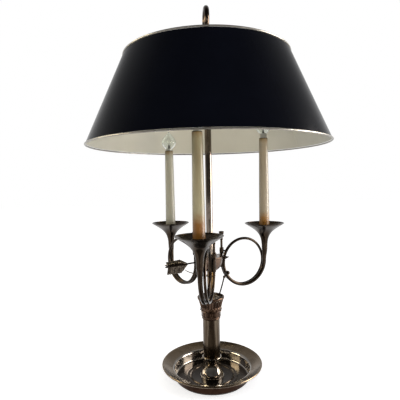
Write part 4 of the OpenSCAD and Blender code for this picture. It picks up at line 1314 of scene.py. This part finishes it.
        def relief(angle: float, reach: float, height: float) -> float:
            """Makes the sleeve's wall a little wavy.

            Args:
                angle: Angle round the sleeve's axis.
                reach: Distance of the plain wall from that axis.
                height: Height of the point.

            Returns:
                Distance of the wavy wall from the axis.
            """
            share = (height - bottom) / (top - bottom)
            wave = math.sin(5 * share + phase + 2 * angle) * math.sin(math.pi * min(max(share, 0), 1))
            return reach - 0.09 * (1 + wave)

        profile = [(bottom_r + (top_r - bottom_r) * (i / 48), bottom + (top - 0.7 - bottom) * (i / 48))
                   for i in range(49)]
        profile += arc((top_r - 0.45, top - 0.5), 0.45, 20, 150, 6)
        profile += [(top_r - self.sleeve_wall, top - 0.6), (bottom_r - self.sleeve_wall, bottom)]
        piece = Workpiece(self.node("candle_sleeve_moulded"))
        piece.revolve(profile, 72, relief, closed=True)
        piece.move(self.on_axis())
        finish = CandleSleeve(self.node("candle_sleeve_ivory"), bottom, top, ivory=self.ivory,
                              streak=self.streak, amber=self.amber, amber_length=self.amber_length)
        piece.finish([finish], replaces=[node], slot="candle_sleeve")

    def socket(self) -> None:
        """Turns the lamp socket with its drip ring and rolled mouth."""
        node = self.node("lamp_socket")
        bottom, top = low(node).z, high(node).z
        candle_top = high(self.node("candle_sleeve")).z
        outer, bore = self.socket_r, self.socket_bore
        profile = [(0, bottom), (outer - 0.4, bottom), (outer, bottom + 1), (outer, candle_top)]
        profile += arc((8.2, candle_top + 0.6), 0.6, -90, 90, 8) + [(outer, candle_top + 1.2)]
        profile += [(7.5, top), (bore, top), (bore, bottom + 2), (0, bottom + 2)]
        turn_piece(self.node("lamp_socket_drawn"), node, profile, 72, SOCKET_SHELL, "socket_shell",
                   place=self.on_axis())

    def bulb(self) -> None:
        """Blows the flame-tip bulb, and dresses the cap under it."""
        node = self.node("bulb_glass")
        bottom, top = low(node).z, high(node).z
        height, belly = top - bottom, half_width(node)
        neck, share, wall, steps = self.bulb_neck_r, self.bulb_belly, self.glass, 40

        def radius(t: float) -> float:
            """Outside radius of the glass at a share of its height."""
            if t < share:
                return neck + (belly - neck) * math.sin(math.pi / 2 * t / share) ** 0.9
            return belly * math.cos(math.pi / 2 * (t - share) / (1 - share)) ** 1.25

        outside = [(radius(i / steps), bottom + height * i / steps) for i in range(steps)] + [(0, top)]
        inside = [(0, top - 3 * height / steps)]
        inside += [(radius(i / steps) - wall, bottom + wall + height * i / steps)
                   for i in range(steps - 4, -1, -1)]
        glass = Workpiece(self.node("bulb_glass_blown"))
        for profile in (outside, inside, [(neck, bottom), (neck - wall, bottom + wall)]):
            glass.revolve(profile, 72)
        glass.move(self.on_axis())
        glass.finish([CLEAR_GLASS], replaces=[node], slot="bulb_glass")
        self.filament(bottom)
        dress(self.node("bulb_cap"), ALUMINIUM_CAP)

    def filament(self, bottom: float) -> None:
        """Draws the pinch, the two lead wires and the filament's wavy arch.

        Args:
            bottom: Height of the glass's lower edge.
        """
        lead_r, arch_r, steps = 4.8, 3.6, 40
        wires = Workpiece(self.node("bulb_filament"))
        wires.revolve([(0, bottom - 0.4), (2.6, bottom - 0.4), (1.9, bottom + 5), (1.4, bottom + 9),
                       (0, bottom + 9.4)], 24)
        for sign in (-1, 1):
            lead = bezier([Vector((sign * 1.0, 0, bottom + 8)), Vector((sign * 1.4, 0, bottom + 12)),
                           Vector((sign * 4.6, 0, bottom + 13)), Vector((sign * lead_r, 0, bottom + 18))], 10)
            wires.sweep(lead, [0.28] * len(lead), Vector((0, 1, 0)), 8)
        turns = [math.pi * i / steps for i in range(steps + 1)]
        arch = [Vector((lead_r * math.cos(turn), 0.5 * math.sin(12 * math.pi * i / 20),
                        bottom + 18 + arch_r * math.sin(turn))) for i, turn in enumerate(turns)]
        wires.sweep(arch, [0.2] * len(arch), Vector((0, 1, 0.01)), 6)
        wires.move(self.on_axis())
        wires.finish([TUNGSTEN])


HORNS = (Horn("front"),
         Horn("right", ivory="#ada18c", streak="#93846c", amber="#96651f", amber_length=50.0),
         Horn("left", ivory="#bbb9aa", streak="#a7a28b", amber="#94835c", amber_length=28.0))


@dataclass
class Arrow:
    """The arrow through the hub, its feathers and head, and the bow limb under it."""

    slope: float = 8.5
    rise: float = 21.6
    tail: float = 89.0
    sunk: float = 5.5
    shaft_r: float = 1.5
    feather_l: float = 43.0
    feather_h: float = 15.3
    barbs: int = 9
    square_from: float = 0.72
    socket_l: float = 7.0
    head_l: float = 12.0
    head_r: float = 3.4
    bow_rise: float = 13.3
    bow_reach: float = 48.8
    bow_r: float = 1.1

    def build(self) -> None:
        """Builds the arrow and the bow limb."""
        self.shaft()
        self.feathers()
        self.head()
        self.bow()

    def line(self) -> Matrix:
        """The arrow's own axes: X towards its head, with X = 0 on the lamp's axis."""
        lift = Matrix.Translation((0, 0, low("hub").z + self.rise))
        return lift @ Matrix.Rotation(-math.radians(self.slope), 4, "Y")

    def shaft(self) -> None:
        """Draws the shaft with its notched tail."""
        inner = -(high("hub").x - self.sunk)
        path = [Vector((x, 0, 0)) for x in (-self.tail, -self.tail + 1.2, -self.tail + 2.4, -60, -40, inner)]
        piece = Workpiece("arrow_shaft_drawn")
        piece.sweep(path, [1.0, 1.45] + [self.shaft_r] * 4, Vector((0, 1, 0)), 20)
        piece.move(self.line())
        piece.finish([HORN_PLATE], replaces=["arrow_shaft"], slot="horn_plate")

    def feathers(self) -> None:
        """Casts three feathers, each corrugated by slanting barbs that notch its edge."""
        piece = Workpiece("arrow_feathers_cast")
        for turn in range(3):
            skins = [self.vane(piece, side) for side in (1, -1)]
            piece.blade(*skins)
            verts = [v for grid in skins for column in grid for v in column]
            piece.move(Matrix.Rotation(TAU * (turn + 0.5) / 3, 4, "X"), verts)
        piece.move(self.line())
        piece.finish([FEATHER_PLATE], replaces=["arrow_feathers"], slot="bundle_plate", crease=60)

    def vane(self, piece: Workpiece, side: int, long_steps: int = 64,
             high_steps: int = 10) -> list[list[Vert]]:
        """Lays out one side of an upright feather over the shaft.

        Args:
            piece: The piece that takes it.
            side: 1 for the side towards +Y, and -1 for the other.
            long_steps: Number of stretches along the feather.
            high_steps: Number of stretches up it.

        Returns:
            Its vertices, in columns from the tail on.
        """
        start = -self.tail + 2.0
        grid = []
        for i in range(long_steps + 1):
            s = i / long_steps
            squared = smooth((s - self.square_from) / (1 - self.square_from))
            top_x = -1 + 0.66 * self.feather_l * min(s / self.square_from, 1)
            top_x += (self.feather_l - 0.66 * self.feather_l + 1) * squared
            foot_x = 3 + (self.feather_l - 3) * s
            ripple = math.cos(TAU * self.barbs * s)
            edge = self.feather_h * (0.92 + 0.08 * min(s / self.square_from, 1))
            edge *= 1 - squared
            edge *= 1 - 0.07 * (0.5 + 0.5 * ripple)
            column = []
            for j in range(high_steps + 1):
                w = j / high_steps
                thick = 0.48 + 0.22 * ripple * min(1, 3 * w) - 0.2 * w
                column.append(piece.vertex(start + (foot_x + (top_x - foot_x) * w), side * max(thick, 0.1),
                                           self.shaft_r - 0.2 + edge * w))
            grid.append(column)
        return grid

    def head(self) -> None:
        """Turns the arrow's head with a small collar behind it."""
        start = high("hub").x - self.sunk
        socket, length, head_r = self.socket_l, self.head_l, self.head_r
        profile = [(0, 0), (1.5, 0), (1.5, socket - 1.4), (2.2, socket - 0.9), (1.6, socket - 0.2),
                   (head_r, socket + 0.2 * length), (head_r * 0.55, socket + 0.6 * length),
                   (0, socket + length)]
        place = self.line() @ Matrix.Translation((start, 0, 0)) @ Matrix.Rotation(math.pi / 2, 4, "Y")
        turn_piece("arrow_head_turned", "arrow_head", profile, 32, HORN_PLATE, "horn_plate", place=place)

    def bow(self) -> None:
        """Draws the slender bow limb that springs from the small collar."""
        middle = (low("stem_collar").z + high("stem_collar").z) / 2
        rise, reach, steps = self.bow_rise, self.bow_reach, 40
        ends = [Vector((high("bow_limb").x, 0, middle)), Vector((-0.55 * reach, -1, middle + 0.36 * rise)),
                Vector((-0.84 * reach, -3, middle + 0.46 * rise)), Vector((-reach, -5, middle + rise))]
        radii = [self.bow_r * (1 - 0.35 * i / steps) for i in range(steps + 1)]
        piece = Workpiece("bow_limb_drawn")
        piece.sweep(bezier(ends, steps), radii, Vector((0, 1, 0)), 16)
        piece.finish([BLOOM_PLATE], replaces=["bow_limb"], slot="bundle_plate")


@dataclass
class Finial:
    """The ring finial on its turned base."""

    turn: float = 4.0
    tube_r: float = 5.0
    ring_out: float = 25.0
    stud_r: float = 3.0

    def build(self) -> None:
        """Builds the base and the ring."""
        self.base()
        self.ring()

    def base(self) -> None:
        """Turns the base with its stud."""
        bottom, top, outer = round_size("finial_base")
        seat = high("post").z
        profile = [(0, bottom), (self.stud_r, bottom), (self.stud_r, seat), (outer - 1, seat)]
        profile += arc((outer - 1, seat + 1), 1.0, -90, 90, 10)
        profile += [(outer - 2.4 - (outer - 8.2) * smooth(i / 8), seat + 2 + (top - seat - 2) * i / 8)
                    for i in range(9)] + [(0, top)]
        turn_piece("finial_base_turned", "finial_base", profile, 96, DARK_PLATE, "post_plate")

    def ring(self) -> None:
        """Bends the ring and stands it on its short neck."""
        foot, tube_r = low("finial_ring").z, self.tube_r
        centre_z = high("finial_ring").z - self.ring_out
        ring_r = self.ring_out - tube_r
        piece = Workpiece("finial_ring_bent")
        rings = []
        for a in (TAU * i / 120 for i in range(120)):
            centre = Vector((0, ring_r * math.cos(a), centre_z + ring_r * math.sin(a)))
            out, across = Vector((0, math.cos(a), math.sin(a))), Vector((1, 0, 0))
            rings.append([piece.vertex(*(centre + tube_r * (math.cos(b) * out + math.sin(b) * across)))
                          for b in (TAU * k / 32 for k in range(32))])
        piece.loft(rings, closed=True)
        neck_top = centre_z - ring_r
        piece.revolve([(0, foot), (tube_r, foot), (tube_r - 0.5, foot + 1.4), (tube_r - 0.9, foot + 3),
                       (tube_r - 0.4, foot + 4.5), (0.6 * tube_r, neck_top), (0, neck_top)], 48)
        piece.move(Matrix.Rotation(math.radians(self.turn), 4, "Z"))
        piece.finish([DARK_PLATE], replaces=["finial_ring"], slot="post_plate")


@dataclass
class ShadeCarrier:
    """The clamp collar with its key, and the spider that carries the shade."""

    air: float = 0.05
    bore_gap: float = 0.06
    edge: float = 0.8
    waist_half: float = 2.0
    waist_depth: float = 0.4
    screw_r: float = 1.95
    shank: float = 5.0
    wing_edge: float = 0.6

    def build(self) -> None:
        """Builds the two collars and the key, and dresses the spider's wires."""
        self.collar("clamp_collar", "clamp")
        self.key()
        self.collar("spider_hub", "shade", waisted=True)
        for node in ("spider_arms", "spider_ring"):
            dress(node, ZINC_STEEL)

    def collar(self, node: str, body: str, waisted: bool = False) -> None:
        """Turns a short bored collar with rounded edges and a little air at its end faces.

        Args:
            node: The CAD node that it stands for.
            body: The CAD body that carries it.
            waisted: Whether a groove runs round its middle.
        """
        bottom, top, outer = round_size(node)
        bottom, top = bottom + self.air, top - self.air
        bore = high("post").x + self.bore_gap
        middle, half, edge = (bottom + top) / 2, self.waist_half, self.edge
        waist_r = outer - self.waist_depth
        profile = [(bore, bottom), (outer - edge, bottom)]
        profile += arc((outer - edge, bottom + edge), edge, -90, 0, 6)
        if waisted:
            profile += [(outer, middle - half), (waist_r, middle - 1.6), (waist_r, middle + 1.6),
                        (outer, middle + half)]
        profile += arc((outer - edge, top - edge), edge, 0, 90, 6) + [(bore, top)]
        turn_piece(f"{node}_turned", node, profile, 96, BRIGHT_PLATE, "post_plate", body, closed=True)

    def key(self) -> None:
        """Cuts the clamp screw with its flat wing."""
        lo, hi = low("clamp_key"), high("clamp_key")
        middle = (lo.z + hi.z) / 2
        collar_r = high("clamp_collar").x
        shank_end = collar_r + self.shank
        tip_r = (hi.z - lo.z) / 2
        piece = Workpiece("clamp_key_cut")
        path = [Vector((x, 0, middle))
                for x in (lo.x, lo.x + 0.5, collar_r + 0.5, shank_end - 1, shank_end + 2.2)]
        piece.sweep(path, [1.5] + [self.screw_r] * 4, Vector((0, 1, 0)), 24)
        outline = arc((hi.x - tip_r, middle), tip_r, -90, 90, 32)
        outline += [(shank_end + 2, middle + tip_r), (shank_end, middle + 3), (shank_end, middle - 3),
                    (shank_end + 2, middle - tip_r)]
        half = (hi.y - lo.y) / 2 - 0.05
        rings = []
        for inset, depth in ((self.wing_edge, -half), (0.0, -half + 0.5), (0.0, half - 0.5),
                             (self.wing_edge, half)):
            centre = Vector(((shank_end + hi.x) / 2, depth, middle))
            points = [Vector((x, depth, z)) for x, z in outline]
            rings.append([piece.vertex(*(point + (centre - point).normalized() * inset)) for point in points])
        piece.loft(rings, capped=True)
        piece.finish([BRIGHT_PLATE], "key", ["clamp_key"], "post_plate")


@dataclass
class Shade:
    """The tapered metal shade: black outside, cream inside, silver at both edges."""

    sheet: float = 0.7
    seam_turn: float = 28.0
    seam_width: float = 7.0
    seam_step: float = 0.5
    roll_share: float = 0.36
    roll_gap: float = 0.01

    def build(self) -> None:
        """Builds the shell, its seam and its two edge rolls."""
        self.shell()
        self.seam()
        self.trim("shade_top_trim", "shade_top_roll")
        self.trim("shade_bottom_trim", "shade_bottom_roll")

    def span(self) -> tuple[float, float, float, float]:
        """Measures the cone.

        Returns:
            The heights of the sheet's lower and upper edge, and its outside radii there.
        """
        lo, hi = low("shade_shell"), high("shade_shell")
        flare = high("shade_bottom_trim").x - high("shade_top_trim").x
        slope = flare / (low("shade_top_trim").z - low("shade_bottom_trim").z)
        return lo.z, hi.z, hi.x, hi.x - (hi.z - lo.z) * slope

    def shell(self) -> None:
        """Rolls the cone, with each side in its own enamel."""
        bottom, top, bottom_r, top_r = self.span()
        steps = 24
        wall = self.sheet * math.hypot(1, (bottom_r - top_r) / (top - bottom))
        outer = [(bottom_r + (top_r - bottom_r) * i / steps, bottom + (top - bottom) * i / steps)
                 for i in range(steps + 1)]
        piece = Workpiece("shade_cone")
        piece.revolve(outer, 256)
        piece.layer = 1
        for profile in ([(r - wall, z) for r, z in reversed(outer)], [(top_r, top), (top_r - wall, top)],
                        [(bottom_r - wall, bottom), (bottom_r, bottom)]):
            piece.revolve(profile, 256)
        piece.finish([BLACK_ENAMEL, CREAM_ENAMEL], "shade", ["shade_shell"], "black_enamel")

    def seam(self) -> None:
        """Laps the sheet's ends over each other inside, which leaves an upright step."""
        bottom, top, bottom_r, top_r = self.span()
        turn = math.radians(self.seam_turn)
        steps, sunk = 16, -0.02
        piece = Workpiece("shade_seam")
        rows = []
        for i in range(steps + 1):
            height = bottom + 0.5 + (top - bottom - 1) * (i / steps)
            reach = bottom_r + (top_r - bottom_r) * (height - bottom) / (top - bottom) - self.sheet * 1.08
            half = self.seam_width / 2 / reach
            section = [(-half, sunk), (-half, self.seam_step), (half * 0.9, 0.42), (half, sunk)]
            rows.append([piece.vertex((reach - depth) * math.cos(turn + a),
                                      (reach - depth) * math.sin(turn + a), height) for a, depth in section])
        piece.loft(rows, capped=True)
        piece.finish([CREAM_ENAMEL], "shade", slot="black_enamel")

    def trim(self, node: str, name: str) -> None:
        """Rolls one bright edge of the shade.

        Args:
            node: The CAD node that it stands for.
            name: Name of the piece.
        """
        lo, hi = low(node), high(node)
        roll_r = self.roll_share * (hi.z - lo.z)
        centre = (-lo.x - roll_r - self.roll_gap, (lo.z + hi.z) / 2)
        turn_piece(name, node, arc(centre, roll_r, 0, 360, 24)[:-1], 256, TRIM_PLATE, "silver_trim", "shade",
                   closed=True)


# ---- Studio ----


@dataclass
class Studio:
    """A pale floor, two side windows that only mirrors see, a grey sheet that only mirrors see as painted
    shade in reflections, soft fills and the camera.
    """

    camera_place: tuple[float, float, float] = (-20.5, -740.2, 381.8)
    pitch_down: float = 2.49
    roll: float = 1.12
    turn: float = -0.23
    focal_share: float = 381.6 / 400
    sensor: float = 36.0
    aim_height: float = 300.0
    floor_half: float = 6000.0
    # The grey sheet that only mirrors see, painted shade in reflections
    flag_half: float = 170.0
    flag_front: float = -900.0
    flag_back: float = -108.0
    flag_lift: float = 1.5
    window_power: float = 60.0
    fill_power: float = 10.0

    def build(self) -> None:
        """Builds the floor, the painted shade sheet, the world, the lamps and the camera."""
        self.floor()
        self.painted_shade_flag()
        self.world()
        self.lamps()
        self.camera()
        bpy.context.scene.view_settings.view_transform = "Standard"

    @staticmethod
    def lay(name: str, half: float, front: float, back: float, height: float,
            material: bpy.types.Material) -> bpy.types.Object:
        """Lays a flat sheet under or before the lamp, as part of the studio.

        Args:
            name: Its name.
            half: Half its width in millimetres.
            front: Y of its front edge.
            back: Y of its back edge.
            height: Its height.
            material: Its material.

        Returns:
            The sheet.
        """
        corners = [(-half, front), (half, front), (half, back), (-half, back)]
        data = bpy.data.meshes.new(name)
        data.from_pydata([(x * MM, y * MM, height * MM) for x, y in corners], [], [(0, 1, 2, 3)])
        data.materials.append(material)
        laid = bpy.data.objects.new(name, data)
        bpy.context.scene.collection.objects.link(laid)
        return laid

    def floor(self) -> None:
        """Lays the pale floor, which keeps the lamp's shadow and mirrors as white."""
        made = bpy.data.materials.new("paper_matt_white")
        made.use_nodes = True
        tree = made.node_tree
        tree.nodes.clear()
        path = add_node(tree, "ShaderNodeLightPath").outputs
        seen = larger(tree, larger(tree, path["Is Camera Ray"], path["Is Glossy Ray"]),
                      path["Is Transmission Ray"])
        glow = add_node(tree, "ShaderNodeMath", {"operation": "MULTIPLY", 1: 0.68}, {0: seen})
        paper = add_node(tree, "ShaderNodeBsdfDiffuse", {"Color": linear("#e6e6e6")})
        light = add_node(tree, "ShaderNodeEmission", {"Color": linear("#ffffff")},
                         {"Strength": glow.outputs[0]})
        both = add_node(tree, "ShaderNodeAddShader", links={0: paper.outputs[0], 1: light.outputs[0]})
        add_node(tree, "ShaderNodeOutputMaterial", links={"Surface": both.outputs[0]})
        self.lay("floor", self.floor_half, -self.floor_half, self.floor_half, 0, made)

    def painted_shade_flag(self) -> None:
        """Lays a grey sheet on the floor in front of the dish, which only mirrors see: painted shade in the
        reflections of the lamp's front.
        """
        painted_shade_flag = self.lay("painted_shade_flag", self.flag_half, self.flag_front, self.flag_back, self.flag_lift,
                         PAINTED_SHADE_FLAG.material())
        painted_shade_flag.visible_camera = painted_shade_flag.visible_diffuse = False
        painted_shade_flag.visible_shadow = painted_shade_flag.visible_transmission = False

    @staticmethod
    def world() -> None:
        """Makes the surroundings: white to the eye, and in mirrors a white room behind the lamp, dark
        before it and dimmer towards the ceiling."""
        world = bpy.data.worlds.new("studio")
        bpy.context.scene.world = world
        world.use_nodes = True
        tree = world.node_tree
        tree.nodes.clear()
        path = add_node(tree, "ShaderNodeLightPath").outputs
        direction = add_node(tree, "ShaderNodeTexCoord").outputs["Generated"]
        part = add_node(tree, "ShaderNodeSeparateXYZ", links={0: direction}).outputs
        ceiling = ramp(tree, part["Z"], (0.12, 0.55), (1.0, 0.5))
        room = ramp(tree, part["Y"], (-0.35, 0.35), (0.09, 1.0))
        mirrored = add_node(tree, "ShaderNodeMath", {"operation": "MULTIPLY"}, {0: ceiling, 1: room})
        glossy = add_node(tree, "ShaderNodeMix", {"data_type": "FLOAT", 2: 0.42},
                          {0: path["Is Glossy Ray"], 3: mirrored.outputs[0]})
        clear = larger(tree, path["Is Camera Ray"], path["Is Transmission Ray"])
        strength = add_node(tree, "ShaderNodeMix", {"data_type": "FLOAT", 3: 1.0},
                            {0: clear, 2: glossy.outputs[0]})
        light = add_node(tree, "ShaderNodeBackground", {"Color": linear("#ffffff")},
                         {"Strength": strength.outputs[0]})
        add_node(tree, "ShaderNodeOutputWorld", links={"Surface": light.outputs[0]})

    def lamps(self) -> None:
        """Hangs the soft lamps, and the two side windows that only mirrors see."""
        window, fill = self.window_power, self.fill_power
        self.lamp("window_left", (-1500, -80, 830), (900, 420), 0.3 * window, "#fff2d0", mirror_only=True)
        self.lamp("window_right", (1500, -80, 500), (900, 1300), window, "#fff9f0", mirror_only=True)
        self.lamp("fill_left", (-1300, -1300, 1500), (1200, 1200), fill, "#fffaf0")
        self.lamp("fill_right", (1500, -900, 1400), (1200, 1200), fill * 1.5, "#f6f8ff")
        self.lamp("fill_low", (800, -1200, 90), (900, 300), fill, "#fff4e0")

    def lamp(self, name: str, place: tuple[float, float, float], size: Point, power: float, tint: str,
             mirror_only: bool = False) -> None:
        """Hangs one area lamp that faces the middle of the bouillotte lamp.

        Args:
            name: Its name.
            place: Its centre.
            size: Its width and height.
            power: Its power in watts.
            tint: Its colour.
            mirror_only: Whether only mirrors see it.
        """
        data = bpy.data.lights.new(name, "AREA")
        data.shape = "RECTANGLE"
        data.size, data.size_y = size[0] * MM, size[1] * MM
        data.energy = power
        data.color = linear(tint)[:3]
        lamp = bpy.data.objects.new(name, data)
        lamp.location = Vector(place) * MM
        aim = Vector((0, 0, self.aim_height)) * MM - lamp.location
        lamp.rotation_euler = aim.to_track_quat("-Z", "Y").to_euler()
        lamp.visible_diffuse = not mirror_only
        lamp.visible_glossy = mirror_only
        bpy.context.scene.collection.objects.link(lamp)

    def camera(self) -> None:
        """Sets the camera level with the candles, a little left of the lamp."""
        data = bpy.data.cameras.new("camera")
        data.sensor_width = self.sensor
        data.lens = self.sensor * self.focal_share
        camera = bpy.data.objects.new("camera", data)
        place = Matrix.Translation(Vector(self.camera_place) * MM)
        aim = Matrix.Rotation(math.radians(90 - self.pitch_down), 4, "X")
        lean = Matrix.Rotation(-math.radians(self.roll), 4, "Z")
        yaw = Matrix.Rotation(math.radians(self.turn), 4, "Z")
        camera.matrix_world = place @ yaw @ aim @ lean
        bpy.context.scene.collection.objects.link(camera)
        bpy.context.scene.camera = camera


def main() -> None:
    """Builds the lamp and its studio."""
    logging.basicConfig(level=logging.INFO, format="%(name)s: %(message)s")
    parts = [Studio(), Foot(), Quiver(), Stem(), *HORNS, Arrow(), Finial(), ShadeCarrier(), Shade()]
    for part in parts:
        part.build()
        log.info("built %s", type(part).__name__)


if __name__ == "__main__":
    main()
